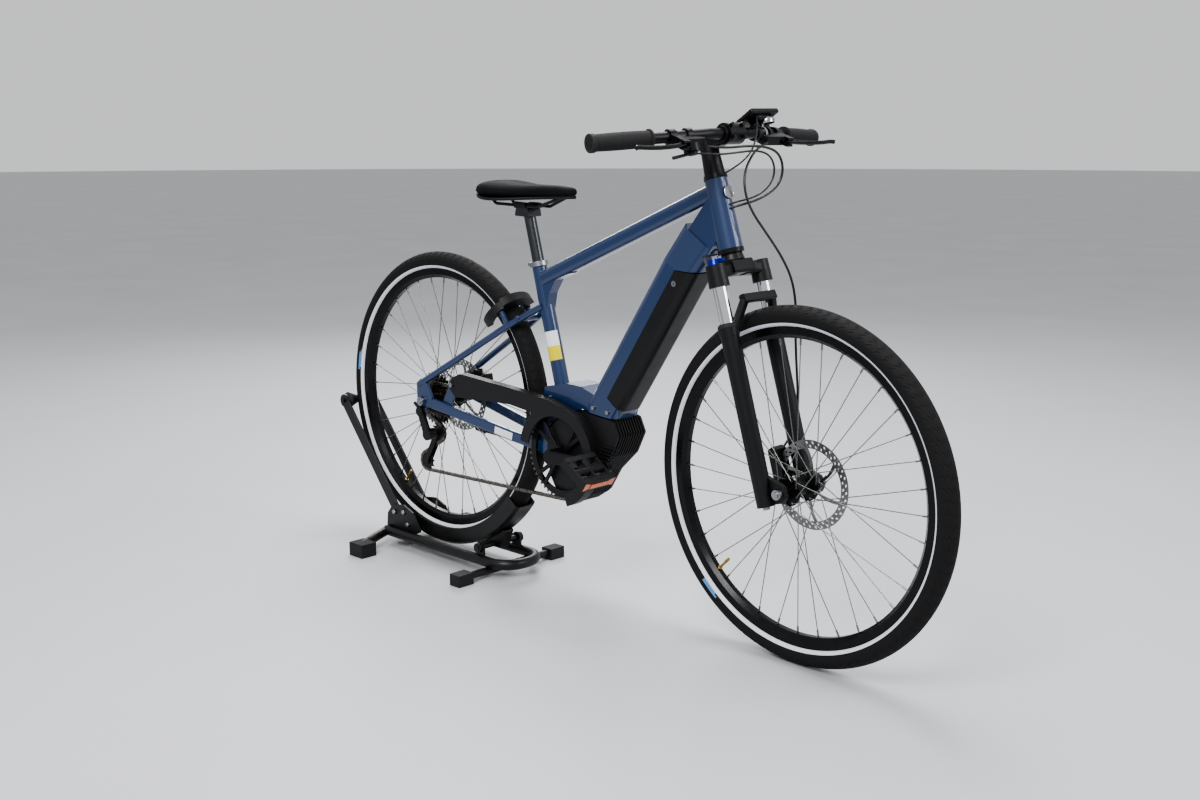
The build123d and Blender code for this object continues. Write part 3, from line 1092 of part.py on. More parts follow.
RIGHT_HUB, LEFT_HUB = -FREEHUB_LEFT - GAP, REAR_HUB_WIDTH / 2 - GAP
NODES = {
    "frame_tubes": lambda: bike_place(frame_tubes()),
    "rear_stays": lambda: bike_place(cut(rear_stays(), frame_tubes(), motor_housing())),
    "headset_cups": lambda: bike_place(headset_cups()),
    "motor_housing": lambda: bike_place(motor_housing()),
    "frame_hardware": lambda: bike_place(frame_hardware()),
    "battery_case": lambda: bike_place(battery_case()),
    "battery_lock": lambda: bike_place(battery_lock()),
    "ring_lock_case": lambda: bike_place(ring_lock_case()),
    "lock_shackle": lambda: bike_place(lock_shackle()),
    "rear_caliper": lambda: bike_place(rear_caliper()),
    "rear_axle": lambda: bike_place(rear_axle()),
    "chain_guard": lambda: bike_place(chain_guard()),
    "chain": lambda: bike_place(chain()),
    "derailleur_body": lambda: bike_place(derailleur_body()),
    "derailleur_cage": lambda: bike_place(derailleur_cage()),
    "guide_pulley": lambda: bike_place(pulley(GUIDE_PULLEY)),
    "tension_pulley": lambda: bike_place(pulley(TENSION_PULLEY)),
    "kickstand_leg": lambda: bike_place(kickstand_leg()),
    "chain_ring": lambda: bike_place(chain_ring()),
    "crank_set": lambda: bike_place(crank_set()),
    "right_pedal": lambda: bike_place(pedal(-1)),
    "left_pedal": lambda: bike_place(pedal(1)),
    "seatpost": lambda: bike_place(seatpost()),
    "saddle_shell": lambda: bike_place(saddle_shell()),
    "saddle_pad": lambda: bike_place(saddle_pad()),
    "rear_tyre": lambda: wheel_place(tyre()),
    "rear_rim": lambda: wheel_place(rim()),
    "rear_spokes": lambda: wheel_place(spokes(*REAR_FLANGES, SPOKE_CIRCLE, 2.0)),
    "rear_hub": lambda: wheel_place(hub(REAR_FLANGES, REAR_ROTOR_Y, -RIGHT_HUB, LEFT_HUB)),
    "rear_rotor": lambda: wheel_place(rotor(REAR_ROTOR_Y, ROTOR_BOSS)),
    "cassette": lambda: wheel_place(cassette()),
    "front_tyre": lambda: front_wheel_place(tyre()),
    "front_rim": lambda: front_wheel_place(rim()),
    "front_spokes": lambda: front_wheel_place(spokes(*FRONT_FLANGES, SPOKE_CIRCLE, 4.0)),
    "front_hub": lambda: front_wheel_place(hub(FRONT_FLANGES, FRONT_ROTOR_Y, GAP - FRONT_HUB_WIDTH / 2,
                                               FRONT_HUB_WIDTH / 2 - GAP)),
    "front_rotor": lambda: front_wheel_place(rotor(FRONT_ROTOR_Y, ROTOR_BOSS)),
    "fork_crown": lambda: front_place(fork_crown()),
    "fork_stanchions": lambda: front_place(fork_stanchions()),
    "lockout_dial": lambda: front_place(lockout_dial()),
    "fork_lowers": lambda: front_place(fork_lowers()),
    "front_axle": lambda: front_place(front_axle()),
    "front_caliper": lambda: front_place(front_caliper()),
    "stem": lambda: front_place(stem()),
    "handlebar": lambda: front_place(handlebar()),
    "grips": lambda: front_place(grips()),
    "control_mounts": lambda: front_place(control_mounts()),
    "right_brake_lever": lambda: front_place(brake_lever(-1)),
    "left_brake_lever": lambda: front_place(brake_lever(1)),
    "shift_lever": lambda: front_place(shift_lever()),
    "display_head": lambda: front_place(display_head()),
    "bell": lambda: front_place(bell()),
    "rear_brake_hose": lambda: front_place(rear_brake_hose()),
    "shift_cable": lambda: front_place(shift_cable()),
    "front_brake_hose": lambda: front_place(front_brake_hose()),
    "display_cable": lambda: front_place(display_cable()),
    "stand_base": lambda: stand_place(stand_base()),
    "stand_feet": lambda: stand_place(stand_feet()),
    "stand_arms": lambda: stand_place(stand_arms()),
    "stand_roller": lambda: stand_place(stand_roller()),
    "stand_cradle": lambda: stand_place(stand_cradle()),
}


def main():
    os.makedirs("parts", exist_ok=True)
    for name, make in NODES.items():
        export_step(Compound(children=make()), f"parts/{name}.step")


if __name__ == "__main__":
    main()
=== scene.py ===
"""A city bicycle on its display stand: finishes, cables, tyres, saddle and trim round the CAD frame."""
import json
import math

import bmesh
import bpy
from mathutils import Matrix, Vector


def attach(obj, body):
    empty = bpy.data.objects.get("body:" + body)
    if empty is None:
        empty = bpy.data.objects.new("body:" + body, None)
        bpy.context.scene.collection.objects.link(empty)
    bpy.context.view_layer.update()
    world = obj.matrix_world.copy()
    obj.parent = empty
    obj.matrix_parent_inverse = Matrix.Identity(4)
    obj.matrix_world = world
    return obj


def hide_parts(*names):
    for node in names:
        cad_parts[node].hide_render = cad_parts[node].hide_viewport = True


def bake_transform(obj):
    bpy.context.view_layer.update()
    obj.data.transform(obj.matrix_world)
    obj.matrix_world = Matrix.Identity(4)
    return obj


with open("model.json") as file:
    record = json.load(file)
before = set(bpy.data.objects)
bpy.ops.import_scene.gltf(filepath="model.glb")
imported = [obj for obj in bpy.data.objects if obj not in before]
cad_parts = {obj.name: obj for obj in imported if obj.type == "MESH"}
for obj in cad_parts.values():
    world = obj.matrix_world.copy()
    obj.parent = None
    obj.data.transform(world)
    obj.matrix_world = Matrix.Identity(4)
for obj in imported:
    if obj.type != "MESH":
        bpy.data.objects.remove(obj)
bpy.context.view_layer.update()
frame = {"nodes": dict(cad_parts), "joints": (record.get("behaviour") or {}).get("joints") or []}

bl_info = {
    "name": "Bicycle on Stand",
    "version": (1, 0, 0),
    "blender": (4, 5, 0),
    "location": "View3D > Sidebar > Bicycle",
    "description": "Finishes, cables, tyres, saddle and trim of a bicycle on its display stand",
    "category": "Object",
}

MM = 0.001
NODES = frame["nodes"]
JOINTS = {joint["name"]: joint for joint in frame["joints"]}

# ---- sizes that the pieces share, in millimetres ----
TYRE_RADIUS = 358.0
RIM_RADIUS = 317.0
RING_TEETH = 50
COG_TEETH = (32, 28, 24, 21, 18, 15, 13, 11)     # from the largest cog outwards
COG_STEP = 4.6
PULLEY_TEETH = 11
DRIVEN_COG = 21
CHAIN_PITCH = 12.7
CHAIN_Y = -44.0
ARC_PARTS = 60                # straight parts of the chain's line round each wheel
STEM_LENGTH = 62.0
STEM_HEIGHT = 224.0
SWEEP_START = 62.0
BAR_HALF_LENGTH = 322.0
BAR_SWEEP = 59.0
LEG_X = 9.0
LEG_SPACING = 64.0
WIPER_HEIGHT = -144.8         # top of the fork's sliders, along the steering axis
SEAT_TUBE_ANGLE = math.radians(72.7)
SEAT_TUBE_TOP = Vector((322, 0, 725))
STAY_FRONT = Vector((288, -44.5, 322))
STAY_REAR = Vector((-4, -71.5, 361))
FRONT_ROTOR_Y = 36.0
REAR_ROTOR_Y = 49.6
ROTOR_THICKNESS = 1.8
SPROCKET_THICKNESS = 1.8
TREAD_FROM = 342.0            # radius where the tread starts
PEDAL_TILT = math.radians(-32)
BOTTOM_BRACKET = Vector((453, 0, 309))
GUIDE_PULLEY = Vector((24, 0, 279))
TENSION_PULLEY = Vector((-18, 0, 200))


def joint_at(name):
    """Where a joint is, in the row frame."""
    return Vector(JOINTS[name]["pos_m"])


def axes(origin, forward, side, up):
    """A place from its origin and three directions."""
    place = Matrix((forward, side, up)).transposed().to_4x4()
    place.translation = origin
    return place


REAR_AXLE = joint_at("rear_wheel_spin")
FRONT_AXLE = joint_at("front_wheel_spin")
NOSE_DOWN = math.atan2(REAR_AXLE.z - FRONT_AXLE.z, FRONT_AXLE.x - REAR_AXLE.x)
BIKE = Matrix.Translation(REAR_AXLE) @ Matrix.Rotation(NOSE_DOWN, 4, "Y") @ Matrix.Translation(
    (0, 0, -TYRE_RADIUS * MM))
STEER_UP = Vector(JOINTS["steering_turn"]["axis"])
STEER_SIDE = Vector(JOINTS["front_wheel_spin"]["axis"])
STEER_FORWARD = STEER_SIDE.cross(STEER_UP)
STEERING = axes(joint_at("steering_turn"), STEER_FORWARD, STEER_SIDE, STEER_UP)
REAR_WHEEL = Matrix.Translation(REAR_AXLE) @ Matrix.Rotation(NOSE_DOWN, 4, "Y")
FRONT_WHEEL = axes(FRONT_AXLE, STEER_FORWARD, STEER_SIDE, STEER_UP)
STAND = Matrix.Translation((joint_at("roller_arms_fold").x + 138 * MM, 0, 0))


# ---- colour and material helpers ----
def linear(hex_colour):
    """An sRGB hex colour as Blender's linear red, green, blue and alpha."""
    values = [int(hex_colour[place:place + 2], 16) / 255 for place in (1, 3, 5)]
    return tuple(v / 12.92 if v <= 0.04045 else ((v + 0.055) / 1.055) ** 2.4 for v in values) + (1.0,)


def feed(tree, node, inputs):
    """Gives a node's sockets their values and links."""
    for socket, value in inputs.items():
        if isinstance(value, bpy.types.NodeSocket):
            tree.links.new(value, node.inputs[socket])
        else:
            node.inputs[socket].default_value = value


def add(tree, kind, inputs, **settings):
    """Adds a shader node with its settings, its values and its links."""
    node = tree.nodes.new("ShaderNode" + kind)
    for name, value in settings.items():
        setattr(node, name, value)
    feed(tree, node, inputs)
    return node


def blank(name, sockets):
    """A new material with those values, its node tree, its shader and its Object coordinates."""
    made = bpy.data.materials.new(name)
    made.use_nodes = True
    tree = made.node_tree
    shader = tree.nodes["Principled BSDF"]
    feed(tree, shader, sockets)
    where = add(tree, "TexCoord", {}).outputs["Object"]
    return made, tree, shader, where


def finish(name, colour, worn, sockets, grain, depth, spread=0.06, speck=6.0):
    """Tone and roughness vary over speck mm; the bump is grain mm across and depth mm deep."""
    made, tree, shader, where = blank(name, sockets)
    rough = sockets["Roughness"]
    cloud = add(tree, "TexNoise", {"Vector": where, "Scale": 1000 / speck, "Detail": 4.0,
                                   "Roughness": 0.6}).outputs[0]
    tone = add(tree, "Mix", {0: cloud, 6: linear(colour), 7: linear(worn)}, data_type="RGBA")
    change = add(tree, "MapRange",
                 {0: cloud, 1: 0.3, 2: 0.7, 3: max(rough - spread, 0.02), 4: min(rough + spread, 1.0)})
    pores = add(tree, "TexNoise", {"Vector": where, "Scale": 1000 / grain, "Detail": 2.0})
    bump = add(tree, "Bump", {"Height": pores.outputs[0], "Distance": depth * MM, "Strength": 0.6})
    feed(tree, shader, {"Base Color": tone.outputs[2], "Roughness": change.outputs[0],
                        "Normal": bump.outputs[0]})
    return made


def blue_enamel():
    """Two-coat enamel: a deep blue base with fine flake under a clear, almost mirror-like lacquer."""
    blue = tuple(bpy.context.scene.bicycle_finish.frame_blue[:3])
    made, tree, shader, where = blank("blue_enamel_lacquered", {
        "Metallic": 0.25, "Roughness": 0.4, "Coat Weight": 1.0, "Coat Roughness": 0.05, "Coat IOR": 1.45})
    flake = add(tree, "TexVoronoi", {"Vector": where, "Scale": 1000 / 0.5})
    deep = tuple(channel * 0.78 for channel in blue)
    tone = add(tree, "Mix", {0: flake.outputs["Distance"], 6: (*blue, 1.0), 7: (*deep, 1.0)},
               data_type="RGBA")
    skin = add(tree, "TexNoise", {"Vector": where, "Scale": 1000 / 9.0, "Detail": 1.0})
    peel = add(tree, "Bump", {"Height": skin.outputs[0], "Distance": 0.03 * MM, "Strength": 0.35})
    feed(tree, shader, {"Base Color": tone.outputs[2], "Coat Normal": peel.outputs[0]})
    return made


def saddle_vinyl():
    """Embossed vinyl over foam: pebbled like leather and dull, with painted shade darkening the creases
    between the pebbles.
    """
    made, tree, shader, where = blank("embossed_vinyl", {"IOR": 1.5, "Specular IOR Level": 0.12})
    pebble = add(tree, "TexVoronoi", {"Vector": where, "Scale": 1000 / 2.2},
                 feature="DISTANCE_TO_EDGE")
    crease = add(tree, "MapRange",
                 {0: pebble.outputs["Distance"], 1: 0.0, 2: 0.12, 3: 0.0, 4: 1.0}).outputs[0]
    # painted shade: the colour darkens into the creases between the pebbles and is lighter on their tops
    tone = add(tree, "Mix", {0: crease, 6: linear("#09090a"), 7: linear("#161719")},
               data_type="RGBA")
    rough = add(tree, "MapRange", {0: crease, 3: 0.9, 4: 0.74})
    bump = add(tree, "Bump", {"Height": crease, "Distance": 0.16 * MM, "Strength": 0.8})
    feed(tree, shader, {"Base Color": tone.outputs[2], "Roughness": rough.outputs[0],
                        "Normal": bump.outputs[0]})
    return made


METAL = {"Metallic": 1.0}
# key: name, colour, worn colour, shader values, (grain, depth, spread of roughness, speck)
FINISHES = {
    # hard-anodised aluminium: a dark oxide skin, satin, with a trace of the metal under it
    "black_anodised": (
        "black_anodised_aluminium", "#0f0f11", "#18181b",
        {"Metallic": 0.5, "Roughness": 0.36}, (0.4, 0.012)),
    # anodised and polished alloy of the rims: darker and glossier than the castings
    "rim_alloy": (
        "black_anodised_rim_alloy", "#0d0d0f", "#18181b",
        {"Metallic": 0.6, "Roughness": 0.26}, (0.6, 0.01, 0.04, 20)),
    # glass-filled nylon, moulded against a spark-eroded tool: fine matt grain
    "moulded_nylon": (
        "moulded_nylon", "#0d0d0e", "#151517",
        {"Roughness": 0.5, "Specular IOR Level": 0.36}, (0.8, 0.05)),
    # ABS of the battery's cover: smoother than the nylon, an even satin
    "satin_abs": (
        "satin_abs", "#09090a", "#0f0f11",
        {"Roughness": 0.4, "Specular IOR Level": 0.34}, (0.7, 0.03, 0.05, 30)),
    # oiled drive steel: grey with dirt in its low places
    "oiled_steel": (
        "oiled_steel", "#7b7873", "#3d3a36", {**METAL, "Roughness": 0.34}, (0.6, 0.02, 0.12, 3)),
    # bright zinc on bolts and nuts
    "zinc_plate": ("zinc_plate", "#a3a5a8", "#84868a", {**METAL, "Roughness": 0.3}, (0.5, 0.01)),
    # stainless spokes, drawn wire: bright along the light, dark elsewhere
    "drawn_stainless": (
        "drawn_stainless_wire", "#8d8e8c", "#6d6e6d", {**METAL, "Roughness": 0.28}, (0.3, 0.004)),
    # brake discs, ground on a belt: a fine uneven shine on the braking band
    "ground_steel": (
        "ground_stainless", "#8f9090", "#6a6b6c", {**METAL, "Roughness": 0.34}, (0.25, 0.01, 0.1, 2)),
    # hard chrome on the fork's inner tubes: a clean mirror
    "hard_chrome": (
        "hard_chrome", "#dcdee0", "#cfd2d5", {**METAL, "Roughness": 0.09}, (0.8, 0.002, 0.03, 12)),
    # satin black lacquer on the magnesium castings of the fork
    "satin_lacquer": (
        "satin_black_lacquer", "#07080a", "#0e0f11",
        {"Roughness": 0.45, "Specular IOR Level": 0.3, "Coat Weight": 0.08, "Coat Roughness": 0.25},
        (1.2, 0.02)),
    # epoxy powder coat on the stand: thick, with an orange-peel skin
    "powder_coat": (
        "epoxy_powder_coat", "#0a0a0b", "#121213",
        {"Roughness": 0.38, "Specular IOR Level": 0.4}, (2.0, 0.09, 0.08, 25)),
    # polished, clear-anodised alloy of the seat post
    "bright_alloy": ("polished_alloy", "#57595c", "#45474a", {**METAL, "Roughness": 0.24}, (0.5, 0.006)),
    # blue dye in the anodised lockout dial
    "blue_dyed": (
        "blue_dyed_anodising", "#24309c", "#1b2473", {"Metallic": 0.85, "Roughness": 0.28}, (0.4, 0.006)),
    # vulcanised carbon-black rubber: nearly black, dry, slightly greyed by dust
    "tyre_rubber": (
        "vulcanised_tread_rubber", "#101011", "#1a1a1b",
        {"Roughness": 0.74, "Specular IOR Level": 0.25}, (0.9, 0.06, 0.08, 14)),
    # soft thermoplastic rubber of grips, feet and roller: matt, slightly grained
    "soft_rubber": (
        "thermoplastic_rubber", "#141415", "#1f1f21",
        {"Roughness": 0.7, "Specular IOR Level": 0.4}, (0.8, 0.05)),
    # glass-bead tape moulded into the sidewall: off-white, bright at every angle
    "bead_tape": ("glass_bead_tape", "#e3e6ea", "#c9ccd1", {"Roughness": 0.4}, (0.4, 0.01)),
    # extruded polyurethane sheath of hoses and cables: smooth, a soft line of light along it
    "cable_sheath": (
        "polyurethane_sheath", "#0d0d0e", "#161617", {"Roughness": 0.34, "IOR": 1.5}, (0.5, 0.004)),
    # chromed spun steel of the bell: a curved mirror
    "bell_chrome": (
        "chromed_bell_steel", "#b9bcc0", "#a2a5a9", {**METAL, "Roughness": 0.16}, (0.6, 0.004)),
    # acrylic over the display: black and glassy
    "display_acrylic": (
        "black_acrylic", "#050607", "#070809",
        {"Roughness": 0.08, "Coat Weight": 0.8, "Coat Roughness": 0.03}, (5.0, 0.001, 0.02)),
    # prismatic amber reflector plastic: bright, with a broken sparkle
    "amber_prism": (
        "amber_prism_plastic", "#e0641a", "#b04508",
        {"Roughness": 0.22, "IOR": 1.49, "Coat Weight": 0.5}, (1.6, 0.2, 0.05, 2)),
    # turned brass of the tyre valves, a little dull
    "turned_brass": ("turned_brass", "#b59a5a", "#8b7440", {**METAL, "Roughness": 0.3}, (0.3, 0.01)),
    # printed vinyl labels: flat colour, slightly glossy
    "white_label": (
        "white_vinyl_label", "#e9eaec", "#dcdde0", {"Roughness": 0.35}, (0.6, 0.004, 0.03, 20)),
    "yellow_label": (
        "yellow_vinyl_label", "#e2d31c", "#d3c310", {"Roughness": 0.35}, (0.6, 0.004, 0.03, 20)),
    # ink on the tyre's sidewall: flat and dull
    "pale_blue_print": (
        "pale_blue_sidewall_print", "#5f8fc4", "#4d7bb0", {"Roughness": 0.5}, (0.8, 0.01)),
}
MAKERS = {"blue_enamel": blue_enamel, "saddle_vinyl": saddle_vinyl}
MADE = {}


def surface(key):
    """The finish of that name, made once."""
    if key in MADE:
        return MADE[key]
    if key in MAKERS:
        MADE[key] = MAKERS[key]()
    else:
        name, colour, worn, sockets, texture = FINISHES[key]
        MADE[key] = finish(name, colour, worn, sockets, *texture)
    return MADE[key]


# ---- mesh helpers ----
def piece(shape, name, body, finishes, stands_for=(), place=None, crease=35):
    """Turns a bmesh in millimetres into a finished piece that rides on a body."""
    bmesh.ops.remove_doubles(shape, verts=shape.verts, dist=0.001)
    bmesh.ops.recalc_face_normals(shape, faces=shape.faces)
    for face in shape.faces:
        face.smooth = True
    for edge in shape.edges:
        if len(edge.link_faces) == 2 and edge.calc_face_angle(0) > math.radians(crease):
            edge.smooth = False
    bmesh.ops.transform(shape, matrix=(place or Matrix()) @ Matrix.Scale(MM, 4), verts=shape.verts)
    mesh = bpy.data.meshes.new(name)
    shape.to_mesh(mesh)
    shape.free()
    made = linked(name, mesh)
    for key in finishes:
        mesh.materials.append(surface(key))
    if body:
        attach(made, body)
    if stands_for:
        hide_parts(*stands_for)
    return made


def linked(name, data):
    """A new object in the scene."""
    made = bpy.data.objects.new(name, data)
    bpy.context.scene.collection.objects.link(made)
    return made


def spun(shape, outline, steps, place=None):
    """Spins an outline of (radius, y) corners about the Y axis into a closed ring; gives its new faces."""
    before = set(shape.faces)
    corners = [shape.verts.new((radius, y, 0)) for radius, y in outline]
    lines = [shape.edges.new((a, b)) for a, b in zip(corners, corners[1:] + corners[:1])]
    bmesh.ops.spin(shape, geom=corners + lines, cent=(0, 0, 0), axis=(0, 1, 0), steps=steps,
                   angle=2 * math.pi, use_merge=True)
    faces = [face for face in shape.faces if face not in before]
    if place:
        moved = list({corner for face in faces for corner in face.verts})
        bmesh.ops.transform(shape, matrix=place, verts=moved)
    return faces


def along(start, end):
    """A place at a start point whose Y axis runs towards an end point."""
    run = (Vector(end) - Vector(start)).normalized()
    return Matrix.Translation(start) @ run.to_track_quat("Y", "Z").to_matrix().to_4x4()


def pin(shape, start, end, radius, steps=20, bevel=0.4):
    """A round bar with softened edges between two points."""
    far = (Vector(end) - Vector(start)).length
    outline = [(0.01, 0), (radius - bevel, 0), (radius, bevel),
               (radius, far - bevel), (radius - bevel, far), (0.01, far)]
    return spun(shape, outline, steps, along(start, end))


def rounded(shape, edges, offset, segments=2):
    """Rounds those edges."""
    bmesh.ops.bevel(shape, geom=edges, offset=offset, offset_type="OFFSET", segments=segments,
                    profile=0.5, affect="EDGES", material=-1, clamp_overlap=True)


def thickened(shape, faces, thickness):
    """Grows flat faces along Y into a plate."""
    grown = bmesh.ops.extrude_face_region(shape, geom=faces)
    raised = [item for item in grown["geom"] if isinstance(item, bmesh.types.BMVert)]
    bmesh.ops.translate(shape, verts=raised, vec=(0, thickness, 0))


def lofted(shape, rings):
    """Joins rings of (centre, side, up, number of corners) and closes both ends."""
    loops = []
    for centre, side, up, corners in rings:
        normal = side.cross(up).normalized()
        width, height = side.length, up.length
        place = axes(centre, side.normalized(), up.normalized(), normal)
        made = bmesh.ops.create_circle(shape, segments=corners, radius=1.0, matrix=place @ Matrix.Diagonal(
            (width, height, 1, 1)))
        loops.append(made["verts"])
    for first, second in zip(loops, loops[1:]):
        edges = [e for loop in (first, second) for e in {e for v in loop for e in v.link_edges}
                 if all(v in loop for v in e.verts)]
        bmesh.ops.bridge_loops(shape, edges=edges)
    for loop in (loops[0], loops[-1]):
        bmesh.ops.contextual_create(shape, geom=loop)


def box(shape, centre, size, place):
    """A sharp box; gives its edges."""
    made = bmesh.ops.create_cube(
        shape, size=1.0, matrix=place @ Matrix.Translation(centre) @ Matrix.Diagonal((*size, 1)))
    return list({edge for corner in made["verts"] for edge in corner.link_edges})


def block(shape, centre, size, round_by, place=Matrix(), segments=2):
    """A box with rounded edges."""
    rounded(shape, box(shape, centre, size, place), round_by, segments)


def dress(node, key, *others):
    """Gives a CAD node its finish."""
    slots = NODES[node].data.materials
    slots.clear()
    for name in (key, *others):
        slots.append(surface(name))


def dress_all(**finishes):
    """Gives CAD nodes their finishes, as finish="node node"."""
    for key, nodes in finishes.items():
        for node in nodes.split():
            dress(node, key)


def bar_point(y, forward=0.0, up=0.0):
    """A point beside the swept part of the handlebar, in the steering frame."""
    share = (abs(y) - SWEEP_START) / (BAR_HALF_LENGTH - SWEEP_START)
    return Vector((STEM_LENGTH - BAR_SWEEP * share + forward, y, STEM_HEIGHT + 4 * share + up))


FLOOR_RADIUS = 40.0
CAMERA_PLACE = (2.08480, -2.13758, 1.03418)
CAMERA_TURN = (134.19, 10.90, -0.04)             # yaw, dip and roll in degrees
SOFTBOXES = (                                    # name, place, aim, size in metres, watts
    ("key_softbox", (1.2, -2.8, 3.2), (0, 0, 0.5), 1.6, 120),
    ("fill_softbox", (3.4, 1.2, 2.6), (0, 0, 0.5), 1.8, 60),
    ("top_softbox", (-0.6, 0.6, 3.6), (0, 0, 0.4), 2.0, 110),
    ("back_softbox", (-2.8, 2.2, 2.4), (0, 0, 0.6), 1.6, 60))


# ---- operators ----
class BicycleFinish(bpy.types.PropertyGroup):
    """Colours and counts that a user would change."""
    frame_blue: bpy.props.FloatVectorProperty(
        name="Frame blue", description="Enamel colour of the frame",
        default=linear("#0a2e5a")[:3], size=3, subtype="COLOR", min=0, max=1)
    floor_grey: bpy.props.FloatVectorProperty(
        name="Floor grey", description="Colour of the studio floor",
        default=linear("#b9babd")[:3], size=3, subtype="COLOR", min=0, max=1)
    tread_steps: bpy.props.IntProperty(
        name="Tread steps", description="Divisions of each tyre round its tread",
        default=300, min=60, max=600, subtype="UNSIGNED")
    camera_lens: bpy.props.FloatProperty(
        name="Camera lens", description="Focal length of the studio camera",
        default=41.42, min=10, max=200, unit="CAMERA")


class BICYCLE_OT_stage(bpy.types.Operator):
    """Floor, soft studio lights and the camera."""
    bl_idname = "bicycle.stage"
    bl_label = "Stage and camera"

    def floor(self, context):
        """A wide round floor of sealed concrete: pale, faintly mottled, half dull."""
        shape = bmesh.new()
        bmesh.ops.create_circle(shape, cap_ends=True, segments=96, radius=FLOOR_RADIUS)
        mesh = bpy.data.meshes.new("studio_floor")
        shape.to_mesh(mesh)
        shape.free()
        ground = linked("studio_floor", mesh)
        grey = tuple(context.scene.bicycle_finish.floor_grey)
        dark = tuple(channel * 0.9 for channel in grey)
        paint, tree, shader, where = blank("sealed_concrete", {})
        cloud = add(tree, "TexNoise", {"Vector": where, "Scale": 1.6, "Detail": 6.0}).outputs[0]
        tone = add(tree, "Mix", {0: cloud, 6: (*grey, 1.0), 7: (*dark, 1.0)}, data_type="RGBA")
        rough = add(tree, "MapRange", {0: cloud, 3: 0.5, 4: 0.7})
        feed(tree, shader, {"Base Color": tone.outputs[2], "Roughness": rough.outputs[0]})
        mesh.materials.append(paint)

    def lights(self, context):
        """Four soft boxes and a pale sky."""
        for name, place, aim, size, power in SOFTBOXES:
            lamp = bpy.data.lights.new(name, "AREA")
            lamp.size = size
            lamp.energy = power
            held = linked(name, lamp)
            held.location = place
            held.rotation_euler = (Vector(aim) - Vector(place)).to_track_quat("-Z", "Y").to_euler()
        world = bpy.data.worlds.new("studio_air")
        world.use_nodes = True
        air = world.node_tree.nodes["Background"]
        air.inputs["Color"].default_value = linear("#f4f5f7")
        air.inputs["Strength"].default_value = 0.72
        context.scene.world = world
        context.scene.view_settings.look = "AgX - Medium High Contrast"

    def camera(self, context):
        """The studio camera, low and to the right of the front wheel."""
        eye = bpy.data.cameras.new("studio_camera")
        eye.lens = context.scene.bicycle_finish.camera_lens
        eye.sensor_width = 36.0
        view = linked("studio_camera", eye)
        yaw, dip, roll = (math.radians(angle) for angle in CAMERA_TURN)
        sight = Vector((math.cos(yaw) * math.cos(dip), math.sin(yaw) * math.cos(dip), -math.sin(dip)))
        view.location = CAMERA_PLACE
        turn = sight.to_track_quat("-Z", "Y").to_matrix() @ Matrix.Rotation(roll, 3, "Z")
        view.rotation_euler = turn.to_euler()
        context.scene.camera = view

    def execute(self, context):
        self.floor(context)
        self.lights(context)
        self.camera(context)
        return {"FINISHED"}


HOSES = {
    # name: (route in the steering frame, diameter, the two bodies, where the bend starts, where it ends)
    "rear_brake_hose": (
        [(0.072, -0.084, 0.197), (0.084, -0.050, 0.190), (0.098, -0.010, 0.189), (0.104, 0.040, 0.186),
         (0.100, 0.084, 0.174), (0.088, 0.104, 0.146), (0.076, 0.098, 0.118), (0.066, 0.070, 0.100),
         (0.056, 0.036, 0.090), (0.046, 0.010, 0.087), (0.0263, -0.002, 0.086)],
        0.005, ("frame", "steering"), (0.026, 0, 0.086), (0.070, 0, 0.130)),
    "shift_cable": (
        [(0.066, -0.108, 0.186), (0.082, -0.070, 0.178), (0.094, -0.028, 0.178), (0.098, 0.022, 0.180),
         (0.092, 0.066, 0.172), (0.082, 0.086, 0.148), (0.072, 0.080, 0.122), (0.062, 0.056, 0.104),
         (0.052, 0.028, 0.096), (0.042, 0.006, 0.095), (0.026, -0.002, 0.094)],
        0.004, ("frame", "steering"), (0.026, 0, 0.094), (0.070, 0, 0.138)),
    "display_cable": (
        [(0.084, 0.060, 0.254), (0.090, 0.050, 0.232), (0.092, 0.036, 0.206), (0.084, 0.022, 0.180),
         (0.066, 0.008, 0.165), (0.046, -0.003, 0.157), (0.026, -0.006, 0.153)],
        0.0036, ("frame", "steering"), (0.026, 0, 0.153), (0.070, 0, 0.190)),
    "front_brake_hose": (
        [(0.076, 0.086, 0.200), (0.074, 0.062, 0.194), (0.070, 0.036, 0.176), (0.065, 0.012, 0.146),
         (0.062, 0.004, 0.106), (0.062, 0.014, 0.066), (0.066, 0.037, 0.024), (0.072, 0.060, -0.024),
         (0.072, 0.078, -0.072), (0.062, 0.086, -0.124), (0.044, 0.088, -0.176), (0.030, 0.088, -0.236),
         (0.018, 0.088, -0.296), (0.002, 0.084, -0.352), (-0.022, 0.074, -0.388),
         (-0.030, 0.060, -0.400)],
        0.005, ("steering", "fork_sliders"), (0.072, 0.060, -0.024), (0.030, 0.088, -0.236)),
}


def routed(name, points, thickness):
    """A NURBS line through the route, as a mesh tube of that thickness or as a bare line."""
    data = bpy.data.curves.new(name + "_line", "CURVE")
    data.dimensions = "3D"
    data.resolution_u = 10
    line = data.splines.new("NURBS")
    line.points.add(len(points) - 1)
    for corner, point in zip(line.points, points):
        corner.co = (*(STEERING @ Vector(point)), 1.0)
    line.order_u = 3
    line.use_endpoint_u = True
    data.bevel_depth = thickness / 2
    data.bevel_resolution = 3
    data.use_fill_caps = True
    holder = linked(name + "_line", data)
    bpy.context.view_layer.update()
    mesh = bpy.data.meshes.new_from_object(holder.evaluated_get(bpy.context.evaluated_depsgraph_get()))
    bpy.data.objects.remove(holder)
    return mesh


